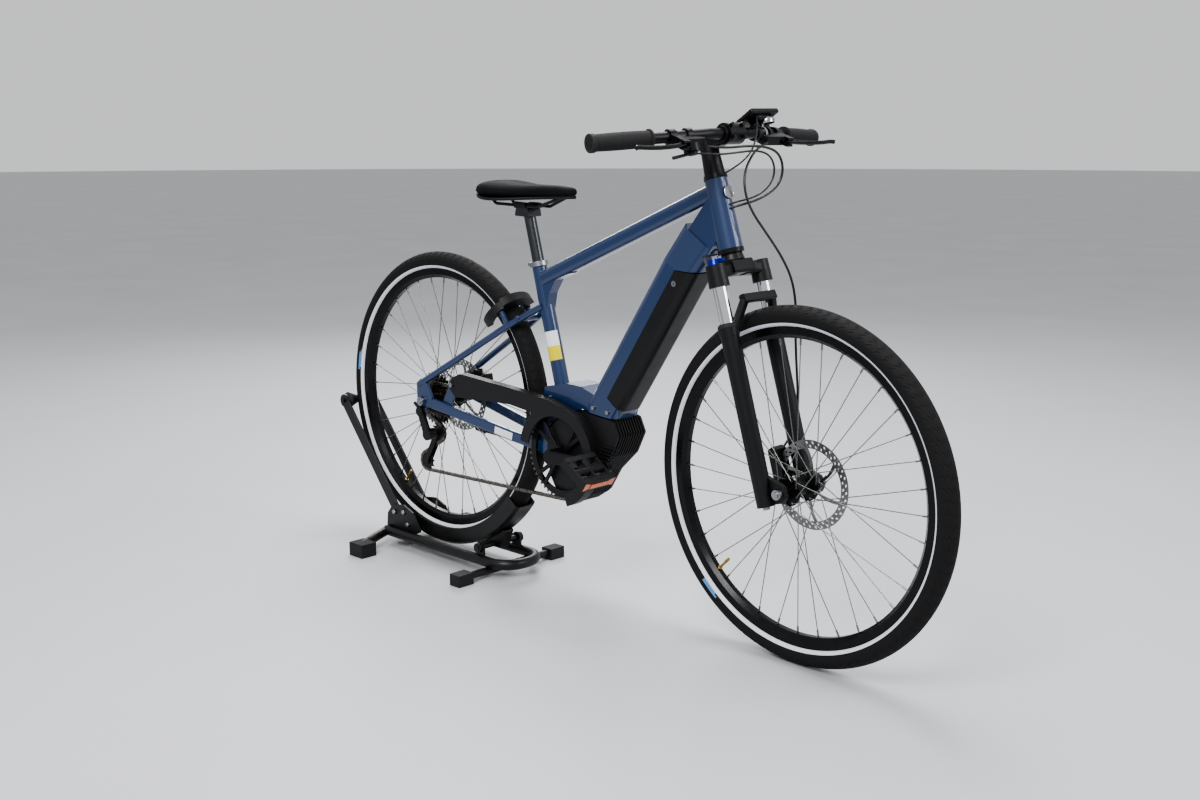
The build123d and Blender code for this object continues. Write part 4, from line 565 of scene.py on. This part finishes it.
class BICYCLE_OT_cables(bpy.types.Operator):
    """Brake hoses, shift cable and display cable, as fixed tubes along their routes."""
    bl_idname = "bicycle.cables"
    bl_label = "Hoses and cables"

    def execute(self, context):
        for name, (route, thickness, bodies, start, end) in HOSES.items():
            path = [vertex.co.copy() for vertex in routed(name, route, 0.0).vertices]
            mesh = routed(name, route, thickness)
            mesh.name = "sheathed_" + name
            mesh.materials.append(surface("cable_sheath"))
            for face in mesh.polygons:
                face.use_smooth = True
            hose = linked("sheathed_" + name, mesh)
            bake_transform(hose)
            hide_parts(name)
        return {"FINISHED"}


class BICYCLE_OT_frame(bpy.types.Operator):
    """Enamel on the frame, and the finishes of what is bolted to it."""
    bl_idname = "bicycle.frame"
    bl_label = "Frame and fittings"

    def execute(self, context):
        dress_all(blue_enamel="frame_tubes rear_stays",
                  black_anodised="headset_cups rear_caliper derailleur_body derailleur_cage kickstand_leg",
                  moulded_nylon="motor_housing ring_lock_case chain_guard saddle_shell",
                  zinc_plate="frame_hardware battery_lock lock_shackle rear_axle",
                  satin_abs="battery_case", bright_alloy="seatpost")
        self.motor_ribs()
        self.labels()
        self.head_badge()
        return {"FINISHED"}

    def motor_ribs(self):
        """Cooling ribs on the lower front of the motor's housing."""
        shape = bmesh.new()
        for number in range(7):
            block(shape, (600 - number * 5.5, -40.5, 352 - number * 8), (44, 6, 3.2), 1.0)
        piece(shape, "motor_cooling_ribs", "frame", ["moulded_nylon"], place=BIKE)

    def labels(self):
        """A two-colour label on the seat tube and a plain tag on the right chain stay."""
        up = Vector((-math.cos(SEAT_TUBE_ANGLE), 0, math.sin(SEAT_TUBE_ANGLE)))
        forward = Vector((up.z, 0, -up.x))
        for name, low, high, key in (("white_seat_label", 160, 194, "white_label"),
                                     ("yellow_seat_label", 194, 226, "yellow_label")):
            shape = bmesh.new()
            faces = spun(shape, [(17.08, 0), (17.24, 0), (17.24, high - low), (17.08, high - low)], 48)
            bmesh.ops.delete(shape, geom=[f for f in faces if f.calc_center_median().z < 0], context="FACES")
            bmesh.ops.holes_fill(shape, edges=shape.edges, sides=4)
            place = axes((SEAT_TUBE_TOP - up * high) * MM, forward, up, forward.cross(up))
            piece(shape, name, "frame", [key], place=BIKE @ place)
        shape = bmesh.new()
        block(shape, (0, 0, 0), (56, 0.4, 17), 0.15)
        run = (STAY_FRONT - STAY_REAR).normalized()
        side = run.cross(Vector((0, 0, 1))).normalized()
        middle = Vector((268, -46.3, 324.6)) + side * 6.35
        place = axes(middle * MM, run, -side, run.cross(-side))
        piece(shape, "chain_stay_tag", "frame", ["white_label"], place=BIKE @ place)

    def head_badge(self):
        """A plain round badge on the front of the head tube."""
        shape = bmesh.new()
        spun(shape, [(0.01, 0), (13.5, 0), (14, 0.5), (14, 1.6), (12.6, 2.2), (12.2, 1.7), (0.01, 2.3)], 48)
        out = Vector((24.2, 0, 118))
        place = axes(out * MM, Vector((0, 1, 0)), Vector((1, 0, 0)), Vector((0, 0, -1)))
        level = Matrix.Translation(joint_at("steering_turn")) @ axes(
            Vector(), Vector((0, 1, 0)).cross(STEER_UP).normalized(), Vector((0, 1, 0)), STEER_UP)
        piece(shape, "head_badge", "frame", ["bell_chrome"], place=level @ place)


class BICYCLE_OT_tyres(bpy.types.Operator):
    """Both tyres with grooves and a bright stripe, valves in the rims, and the brake discs."""
    bl_idname = "bicycle.tyres"
    bl_label = "Tyres and valves"

    def outline(self):
        """Half of the tyre's section, from its bead to its crown."""
        lower = [(RIM_RADIUS + 0.8 + 19.7 * (1 - math.cos(a)), 12 + 11 * math.sin(a))
                 for a in [math.pi / 2 * step / 7 for step in range(8)]]
        upper = [(337.5 + 20.5 * math.sin(a), 23 * math.cos(a) ** 1.28) for a in
                 [math.pi / 2 * step / 8 for step in range(1, 9)]]
        return [(RIM_RADIUS - 5, 9.5), (RIM_RADIUS - 5, 12), *lower, *upper]

    def lean(self, shape, half, step):
        """Leans the tread's rows of corners, so that the grooves cut between them lean."""
        for radius, y in half:
            if radius <= TREAD_FROM:
                continue
            turn = Matrix.Rotation((23 - y) * 0.19 * step, 3, "Y")
            for side in (-1, 1):
                row = [v for v in shape.verts if abs(v.co.y - side * y) < 0.01
                       and abs(math.hypot(v.co.x, v.co.z) - radius) < 0.01]
                if row and (side > 0 or y > 0.01):
                    bmesh.ops.rotate(shape, verts=row, cent=(0, 0, 0), matrix=turn)

    def regions(self, shape, step, print_turn):
        """The faces of the grooves, of the bright stripe and of the printed patch."""
        grooves, stripe, patch = [], [], []
        for face in shape.faces:
            middle = face.calc_center_median()
            radius, side = math.hypot(middle.x, middle.z), abs(middle.y)
            column = round(math.atan2(middle.z, middle.x) / step)
            if radius > TREAD_FROM + 1 and column % 3 == (0 if middle.y > 0 else 1) and side > 2.0:
                grooves.append(face)
            elif 318.6 < radius < 324.5 and side > 13:
                stripe.append(face)
            elif 325 < radius < 333 and abs(column - round(print_turn / step)) < 4:
                patch.append(face)
        return grooves, stripe, patch

    def tyre(self, wheel, body, place, steps, print_turn):
        """One tyre: its section spun round the axle, its faces sorted, its grooves sunk."""
        half = self.outline()
        section = half + [(radius, -y) for radius, y in reversed(half[:-1])]
        shape = bmesh.new()
        spun(shape, section, steps)
        bmesh.ops.remove_doubles(shape, verts=shape.verts, dist=0.001)
        step = 2 * math.pi / steps
        self.lean(shape, half, step)
        grooves, stripe, patch = self.regions(shape, step, print_turn)
        for face in stripe:
            face.material_index = 1
        for face in patch:
            face.material_index = 2
        bmesh.ops.inset_region(shape, faces=grooves, thickness=1.7, depth=-0.9, use_even_offset=True)
        piece(shape, wheel + "_tyre_tread", body, ["tyre_rubber", "bead_tape", "pale_blue_print"],
              [wheel + "_tyre"], place, crease=24)

    def valve(self, wheel, body, place, turn):
        """A valve stem with its cap, between two spokes."""
        shape = bmesh.new()
        out = Vector((math.cos(turn), 0, math.sin(turn)))
        pin(shape, out * 294.5, out * 291, 5.0)
        pin(shape, out * 291, out * 272, 2.6)
        pin(shape, out * 272, out * 258, 3.2)
        piece(shape, wheel + "_valve", body, ["turned_brass"], place=place)

    def rotor(self, wheel, body, place, y):
        """A brake disc: slotted braking band, six swept arms and its bolt ring."""
        radii = (13.1, 18, 24, 30, 37, 44, 51, 58, 65, 73, 75.2, 77.6, 80, 82.4, 84.8, 87.2, 90)
        columns = 216
        shape = bmesh.new()
        rings = []
        for radius in radii:
            lean = math.radians(24) * (radius - 18) / 62
            turns = [2 * math.pi * n / columns + lean for n in range(columns)]
            rings.append([shape.verts.new((radius * math.cos(t), y, radius * math.sin(t))) for t in turns])
        kept = []
        for row, (low, high) in enumerate(zip(rings, rings[1:])):
            for n in range(columns):
                arm = (n % 36) < (4 if row > 4 else 6)
                slot = row in (10, 11, 13, 14) and n % 6 in ((1, 2) if row < 12 else (3, 4))
                if row < 2 or (row < 9 and arm) or (row >= 9 and not slot):
                    after = (n + 1) % columns
                    kept.append(shape.faces.new((low[n], low[after], high[after], high[n])))
        bmesh.ops.delete(shape, geom=[v for v in shape.verts if not v.link_faces], context="VERTS")
        thickened(shape, kept, ROTOR_THICKNESS)
        for n in range(6):
            turn = 2 * math.pi * n / 6 + 0.09
            spot = Vector((19.5 * math.cos(turn), y - 0.9, 19.5 * math.sin(turn)))
            pin(shape, spot, spot + Vector((0, 3.9, 0)), 3.0, 6, 0.5)
        piece(shape, wheel + "_brake_disc", body, ["ground_steel"], [wheel + "_rotor"], place)

    def execute(self, context):
        steps = context.scene.bicycle_finish.tread_steps
        self.tyre("rear", "rear_wheel", REAR_WHEEL, steps, math.radians(172))
        self.tyre("front", "front_wheel", FRONT_WHEEL, steps, math.radians(-148))
        self.valve("rear", "rear_wheel", REAR_WHEEL, math.radians(-123))
        self.valve("front", "front_wheel", FRONT_WHEEL, math.radians(209))
        for wheel in ("front", "rear"):
            dress_all(rim_alloy=wheel + "_rim", drawn_stainless=wheel + "_spokes",
                      black_anodised=wheel + "_hub")
        self.rotor("front", "front_wheel", FRONT_WHEEL, FRONT_ROTOR_Y)
        self.rotor("rear", "rear_wheel", REAR_WHEEL, REAR_ROTOR_Y)
        return {"FINISHED"}


class BICYCLE_OT_saddle(bpy.types.Operator):
    """The saddle's foam cushion under its vinyl cover."""
    bl_idname = "bicycle.saddle"
    bl_label = "Saddle"

    def execute(self, context):
        shape = bmesh.new()
        # (along the bicycle, half width, underside, top) of the cushion, from its tail to its nose
        sections = ((172, 54, 866, 890), (177, 64, 860, 896), (190, 74, 857, 900), (208, 79, 856, 901),
                    (232, 77, 857, 899), (262, 68, 859, 897), (292, 52, 862, 896), (322, 38, 866, 897),
                    (350, 29, 869, 898), (380, 24, 871, 899), (408, 20, 873, 898), (424, 16, 875, 896),
                    (431, 9, 879, 892))
        rings = []
        for x, half, low, high in sections:
            centre = Vector((x, 0, (low + high) / 2))
            rings.append((centre, Vector((0, half, 0)), Vector((0, 0, (high - low) / 2)), 40))
        lofted(shape, rings)
        for corner in shape.verts:
            x, half, low, high = self.section(corner, sections)
            middle, tall = (low + high) / 2, (high - low) / 2
            across, rise = corner.co.y / half, (corner.co.z - middle) / tall
            full = abs(across) ** 0.82 * math.copysign(1, across)       # fuller flanks than an ellipse
            corner.co.y = full * half * 0.985
            if rise > 0:
                dip = 3.4 * math.exp(-(corner.co.y / 7.5) ** 2) * min(1, max(0, (x - 200) / 60)) * min(
                    1, max(0, (424 - x) / 30))                          # the channel along the middle
                corner.co.z = middle + tall * rise ** 0.72 - dip
            else:
                corner.co.z = middle + tall * rise * 0.9
        seam = [edge for edge in shape.edges if all(self.on_seam(v, sections) for v in edge.verts)]
        rounded(shape, seam, 1.1)
        made = piece(shape, "saddle_cover", "saddle", ["saddle_vinyl"], ["saddle_pad"],
                     BIKE, crease=60)
        soft = made.modifiers.new("rounding", "SUBSURF")
        soft.levels = 2
        soft.render_levels = 2
        return {"FINISHED"}

    def section(self, corner, sections):
        """The section that a corner belongs to."""
        return min(sections, key=lambda row: abs(row[0] - corner.co.x))

    def on_seam(self, corner, sections):
        """Whether a corner lies where the top panel is stitched to the flank."""
        half, low, high = self.section(corner, sections)[1:]
        rise = (corner.co.z - low) / (high - low)
        return 0.42 < rise < 0.62 and abs(corner.co.y) > 0.8 * half


class BICYCLE_OT_drive(bpy.types.Operator):
    """Chain links, toothed rings and the finishes of cranks and pedals."""
    bl_idname = "bicycle.drive"
    bl_label = "Chain and drive"

    def pitch_radius(self, teeth):
        """How far the chain's rollers lie from the axis of a sprocket."""
        return CHAIN_PITCH / 2 / math.sin(math.pi / teeth)

    def loop(self):
        """The chain's line round ring, tension pulley, guide pulley and cog, as close corners."""
        wheels = [(BOTTOM_BRACKET.x, BOTTOM_BRACKET.z, self.pitch_radius(RING_TEETH), 1),
                  (TENSION_PULLEY.x, TENSION_PULLEY.z, self.pitch_radius(PULLEY_TEETH), 1),
                  (GUIDE_PULLEY.x, GUIDE_PULLEY.z, self.pitch_radius(PULLEY_TEETH), -1),
                  (0, TYRE_RADIUS, self.pitch_radius(DRIVEN_COG), 1)]
        runs = []
        for (x0, z0, r0, s0), (x1, z1, r1, s1) in zip(wheels, wheels[1:] + wheels[:1]):
            far = math.hypot(x1 - x0, z1 - z0)
            normal = math.atan2(z1 - z0, x1 - x0) + math.acos((s0 * r0 - s1 * r1) / far)
            ends = [Vector((x + s * r * math.cos(normal), z + s * r * math.sin(normal)))
                    for x, z, r, s in ((x0, z0, r0, s0), (x1, z1, r1, s1))]
            runs.append((ends[0], ends[1], normal))
        line = []
        for number, (x, z, radius, side) in enumerate(wheels):
            start, end = runs[number - 1][2], runs[number][2]
            sweep = (end - start) % (2 * math.pi) if side < 0 else -((start - end) % (2 * math.pi))
            turns = [start + sweep * n / ARC_PARTS for n in range(ARC_PARTS + 1)]
            reach = side * radius
            line += [Vector((x + reach * math.cos(turn), z + reach * math.sin(turn))) for turn in turns]
            line.append(runs[number][1])
        return line

    def rollers(self):
        """Places of the chain's rollers, evenly spaced along its line."""
        line = self.loop()
        lengths = [(b - a).length for a, b in zip(line, line[1:])]
        count = 2 * round(sum(lengths) / CHAIN_PITCH / 2)
        spacing = sum(lengths) / count
        found, gone = [], 0.0
        for (a, b), length in zip(zip(line, line[1:]), lengths):
            while length > 0 and len(found) * spacing < gone + length and len(found) < count:
                found.append(a.lerp(b, (len(found) * spacing - gone) / length))
            gone += length
        return found

    def chain(self):
        """Inner and outer links in turn, with a rivet and a roller at each joint."""
        rollers = self.rollers()
        shape = bmesh.new()
        for number, here in enumerate(rollers):
            there = rollers[(number + 1) % len(rollers)]
            run = Vector((there.x - here.x, 0, there.y - here.y))
            place = axes(Vector((here.x, 0, here.y)), run.normalized(), Vector((0, 1, 0)),
                         run.normalized().cross(Vector((0, 1, 0))))
            gap = 2.3 if number % 2 else 3.1
            for side in (-1, 1):
                edges = box(shape, (run.length / 2, CHAIN_Y + side * gap, 0),
                            (CHAIN_PITCH + 7.4, 0.9, 7.4), place)
                upright = [edge for edge in edges
                           if abs((edge.verts[0].co - edge.verts[1].co).normalized().y) > 0.9]
                rounded(shape, upright, 2.6)
            for half, radius, steps in ((3.9, 1.9, 8), (1.9, 3.6, 10)):       # the rivet, then its roller
                pin(shape, (here.x, CHAIN_Y - half, here.y), (here.x, CHAIN_Y + half, here.y),
                    radius, steps, 0.2)
        made = piece(shape, "roller_chain", None, ["oiled_steel"], ["chain"], BIKE)
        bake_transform(made)
        return rollers

    def toothed(self, shape, centre, teeth, y, bore, phase):
        """A sprocket: one tooth between each pair of rollers."""
        pitch = self.pitch_radius(teeth)
        rim = []
        for number in range(teeth):
            tooth = phase + (number + 0.5) * 2 * math.pi / teeth
            for offset, radius in ((-0.31, pitch - 3.4), (-0.1, pitch + 2.6),
                                   (0.1, pitch + 2.6), (0.31, pitch - 3.4)):
                turn = tooth + offset * 2 * math.pi / teeth
                rim.append((centre.x + radius * math.cos(turn), centre.z + radius * math.sin(turn)))
        near = y - SPROCKET_THICKNESS / 2
        outer = [shape.verts.new((x, near, z)) for x, z in rim]
        inner = []
        for x, z in rim:
            share = bore / math.hypot(x - centre.x, z - centre.z)
            inner.append(shape.verts.new((centre.x + (x - centre.x) * share, near,
                                          centre.z + (z - centre.z) * share)))
        count = len(rim)
        flat = [shape.faces.new((outer[n], outer[(n + 1) % count], inner[(n + 1) % count], inner[n]))
                for n in range(count)]
        thickened(shape, flat, SPROCKET_THICKNESS)

    def execute(self, context):
        rollers = self.chain()
        cog_middle = Vector((0, 0, TYRE_RADIUS))
        first = min(rollers, key=lambda p: (p - Vector((BOTTOM_BRACKET.x + 101, BOTTOM_BRACKET.z))).length)
        ring_phase = math.atan2(first.y - BOTTOM_BRACKET.z, first.x - BOTTOM_BRACKET.x)
        shape = bmesh.new()
        self.toothed(shape, BOTTOM_BRACKET, RING_TEETH, CHAIN_Y, 84, ring_phase)
        piece(shape, "chain_ring_teeth", "crank", ["oiled_steel"], place=BIKE)
        back = min(rollers, key=lambda p: (p - Vector((-42, TYRE_RADIUS))).length)
        shape = bmesh.new()
        for number, teeth in enumerate(COG_TEETH):
            phase = math.atan2(back.y - TYRE_RADIUS, back.x) if teeth == DRIVEN_COG else number * 0.07
            y = CHAIN_Y + (3 - number) * COG_STEP
            self.toothed(shape, cog_middle, teeth, y, 17.8, phase)
        pin(shape, cog_middle + Vector((0, -63.2, 0)), cog_middle + Vector((0, -24.4, 0)), 17.3, 48)
        piece(shape, "cog_stack", "cassette", ["oiled_steel"], ["cassette"], BIKE)
        for name, node, body, middle in (
                ("guide_pulley_teeth", "guide_pulley", "upper_pulley", GUIDE_PULLEY),
                ("tension_pulley_teeth", "tension_pulley", "lower_pulley", TENSION_PULLEY)):
            near = min(rollers, key=lambda p: (p - Vector((middle.x, middle.z))).length)
            shape = bmesh.new()
            self.toothed(shape, middle, PULLEY_TEETH, CHAIN_Y, 6.9,
                         math.atan2(near.y - middle.z, near.x - middle.x))
            piece(shape, name, body, ["moulded_nylon"], place=BIKE)
            dress(node, "moulded_nylon")
        dress_all(black_anodised="chain_ring crank_set")
        for side in ("right", "left"):
            dress(side + "_pedal", "moulded_nylon", "amber_prism")
            self.light_lamps(side)
        return {"FINISHED"}

    def light_lamps(self, side):
        """Gives the two reflectors of a pedal their amber plastic, by where their faces are."""
        mesh = NODES[side + "_pedal"].data
        centre = joint_at(side + "_pedal_spin")
        tilt = Matrix.Rotation(PEDAL_TILT - NOSE_DOWN, 3, "Y")
        for face in mesh.polygons:
            local = (tilt @ (face.center - centre)) / MM
            if abs(local.x) > 37.9 and abs(local.z) < 6.4:
                face.material_index = 1


class BICYCLE_OT_fork(bpy.types.Operator):
    """Finishes of the suspension fork, its wipers and its brake."""
    bl_idname = "bicycle.fork"
    bl_label = "Fork"

    def execute(self, context):
        dress_all(satin_lacquer="fork_crown fork_lowers", hard_chrome="fork_stanchions",
                  blue_dyed="lockout_dial", zinc_plate="front_axle", black_anodised="front_caliper")
        shape = bmesh.new()
        for side in (-1, 1):
            spun(shape, [(14.3, 0), (20.6, 0), (20.9, 2), (20.2, 5), (16.4, 9), (14.3, 9)], 48,
                 Matrix.Translation((LEG_X, side * LEG_SPACING, WIPER_HEIGHT))
                 @ Matrix.Rotation(math.pi / 2, 4, "X"))
        piece(shape, "fork_wipers", "fork_sliders", ["soft_rubber"], place=STEERING)
        return {"FINISHED"}


class BICYCLE_OT_controls(bpy.types.Operator):
    """Grips, brake levers, display and the finishes of the handlebar's fittings."""
    bl_idname = "bicycle.controls"
    bl_label = "Handlebar controls"

    def grip(self, shape, side):
        """A ribbed grip that swells under the palm."""
        inner, outer = 192.0, BAR_HALF_LENGTH + 3
        length = outer - inner
        ribs = 44
        outline = [(11.3, 0), (17.6, 0), (18.4, 0.8), (18.4, 4.2), (17.4, 5)]
        for number in range(ribs):
            start = 5.4 + (length - 16) * number / ribs
            swell = 15.3 + 0.9 * math.sin(math.pi * number / ribs)
            for share, rise in ((0.0, 0.0), (0.25, 0.55), (0.6, 0.55), (0.85, 0.0)):
                outline.append((swell + rise, start + share * (length - 16) / ribs))
        outline += [(17.2, length - 9.6), (17.9, length - 8.8), (17.9, length - 1),
                    (17.0, length), (11.3, length)]
        place = along(bar_point(side * inner), bar_point(side * outer))
        spun(shape, outline, 40, place)
        plug = [(0.01, length - 2.5), (11.2, length - 2.5), (11.2, length - 0.6), (0.01, length - 0.6)]
        spun(shape, plug, 32, place)

    def lever(self, side):
        """A two-finger blade, swept outwards and hooked at its tip."""
        drop = math.radians(35)
        out, up = Vector((math.cos(drop), 0, -math.sin(drop))), Vector((math.sin(drop), 0, math.cos(drop)))
        foot = bar_point(side * 152.0)
        # how far out, how far along the bar, and half the blade's width there
        route = ((38, 147, 5.2), (41, 156, 5.6), (45, 168, 5.0), (49.5, 184, 4.0), (53, 204, 3.5),
                 (54.5, 226, 3.4), (54, 246, 3.4), (51.5, 264, 3.4), (50, 276, 3.6), (51, 284, 3.8),
                 (54, 287, 2.6))
        points = [Vector((foot.x, 0, foot.z)) + out * far + Vector((0, side * y, 0)) for far, y, _ in route]
        rings = []
        for number, (point, (_, _, half)) in enumerate(zip(points, route)):
            run = (points[min(number + 1, len(points) - 1)] - points[max(number - 1, 0)]).normalized()
            rings.append((point, run.cross(up).normalized() * half, up * 4.4, 16))
        shape = bmesh.new()
        lofted(shape, rings)
        name = "right" if side < 0 else "left"
        piece(shape, name + "_lever_blade", "lever_" + name, ["black_anodised"],
              [name + "_brake_lever"], STEERING, crease=50)

    def display(self):
        """The display on its clamp, tilted towards the rider, and the remote beside the left grip."""
        foot = bar_point(74)
        tilt = Matrix.Translation(foot + Vector((4, 8, 30))) @ Matrix.Rotation(math.radians(-16), 4, "Y")
        remote = Matrix.Translation(bar_point(120) + Vector((-12, 0, 18)))
        shape = bmesh.new()
        block(shape, (0, 0, 0), (58, 82, 10), 3.4, tilt, 4)
        block(shape, (6, 0, -8), (30, 36, 10), 3.0, tilt, 3)
        pin(shape, foot + Vector((0, 2, 8)), foot + Vector((5, 6, 26)), 9.0, 28, 1.5)
        pin(shape, bar_point(68), bar_point(82), 15.4, 36, 1.0)
        pin(shape, bar_point(114), bar_point(124), 14.4, 36, 1.0)
        block(shape, (0, 0, 0), (29, 33, 15), 3.5, remote, 4)
        piece(shape, "display_case", "steering", ["satin_abs"], ["display_head"],
              STEERING)
        shape = bmesh.new()
        block(shape, (0, 0, 5.1), (50, 70, 1.0), 0.4, tilt, 3)
        piece(shape, "display_window", "steering", ["display_acrylic"], place=STEERING)
        shape = bmesh.new()
        for x, y in ((7, 0), (-7, 0), (0, 11), (0, -11)):
            block(shape, (x, y, 7.6), (9, 8, 2), 0.8, remote)
        piece(shape, "remote_keys", "steering", ["soft_rubber"], place=STEERING)

    def execute(self, context):
        dress_all(black_anodised="stem handlebar control_mounts", moulded_nylon="shift_lever",
                  bell_chrome="bell")
        shape = bmesh.new()
        for side in (-1, 1):
            self.grip(shape, side)
        piece(shape, "ribbed_grips", "steering", ["soft_rubber"], ["grips"],
              STEERING, crease=30)
        for side in (-1, 1):
            self.lever(side)
        self.display()
        return {"FINISHED"}


class BICYCLE_OT_stand(bpy.types.Operator):
    """Finishes of the stand, with the bolts of its bracket plates."""
    bl_idname = "bicycle.stand"
    bl_label = "Stand"

    def execute(self, context):
        dress_all(powder_coat="stand_base stand_arms stand_cradle", soft_rubber="stand_feet stand_roller")
        shape = bmesh.new()
        for side in (-1, 1):
            for x, z in ((-138, 86), (-84, 62), (-100, 92)):
                spun(shape, [(0.01, 0), (6.4, 0), (6.4, 4.4), (5.6, 5.2), (0.01, 5.2)], 6,
                     along((x, side * 54.1, z), (x, side * 64, z)))
        piece(shape, "bracket_bolts", "frame", ["zinc_plate"], place=STAND, crease=20)
        return {"FINISHED"}


class BICYCLE_PT_panel(bpy.types.Panel):
    """Lists every step in the order that main() takes."""
    bl_label = "Bicycle on stand"
    bl_idname = "BICYCLE_PT_panel"
    bl_space_type = "VIEW_3D"
    bl_region_type = "UI"
    bl_category = "Bicycle"

    def draw(self, context):
        look = context.scene.bicycle_finish
        for name in ("frame_blue", "floor_grey", "tread_steps", "camera_lens"):
            self.layout.prop(look, name)
        for operator in OPERATORS:
            self.layout.operator(operator.bl_idname)


OPERATORS = (BICYCLE_OT_stage, BICYCLE_OT_cables, BICYCLE_OT_frame, BICYCLE_OT_tyres, BICYCLE_OT_saddle,
             BICYCLE_OT_drive, BICYCLE_OT_fork, BICYCLE_OT_controls, BICYCLE_OT_stand)


def register():
    for kind in (BicycleFinish, *OPERATORS, BICYCLE_PT_panel):
        bpy.utils.register_class(kind)
    bpy.types.Scene.bicycle_finish = bpy.props.PointerProperty(type=BicycleFinish)


def unregister():
    del bpy.types.Scene.bicycle_finish
    for kind in reversed((BicycleFinish, *OPERATORS, BICYCLE_PT_panel)):
        bpy.utils.unregister_class(kind)


def main():
    register()
    bpy.ops.bicycle.stage()
    bpy.ops.bicycle.cables()
    bpy.ops.bicycle.frame()
    bpy.ops.bicycle.tyres()
    bpy.ops.bicycle.saddle()
    bpy.ops.bicycle.drive()
    bpy.ops.bicycle.fork()
    bpy.ops.bicycle.controls()
    bpy.ops.bicycle.stand()


if __name__ == "__main__":
    main()
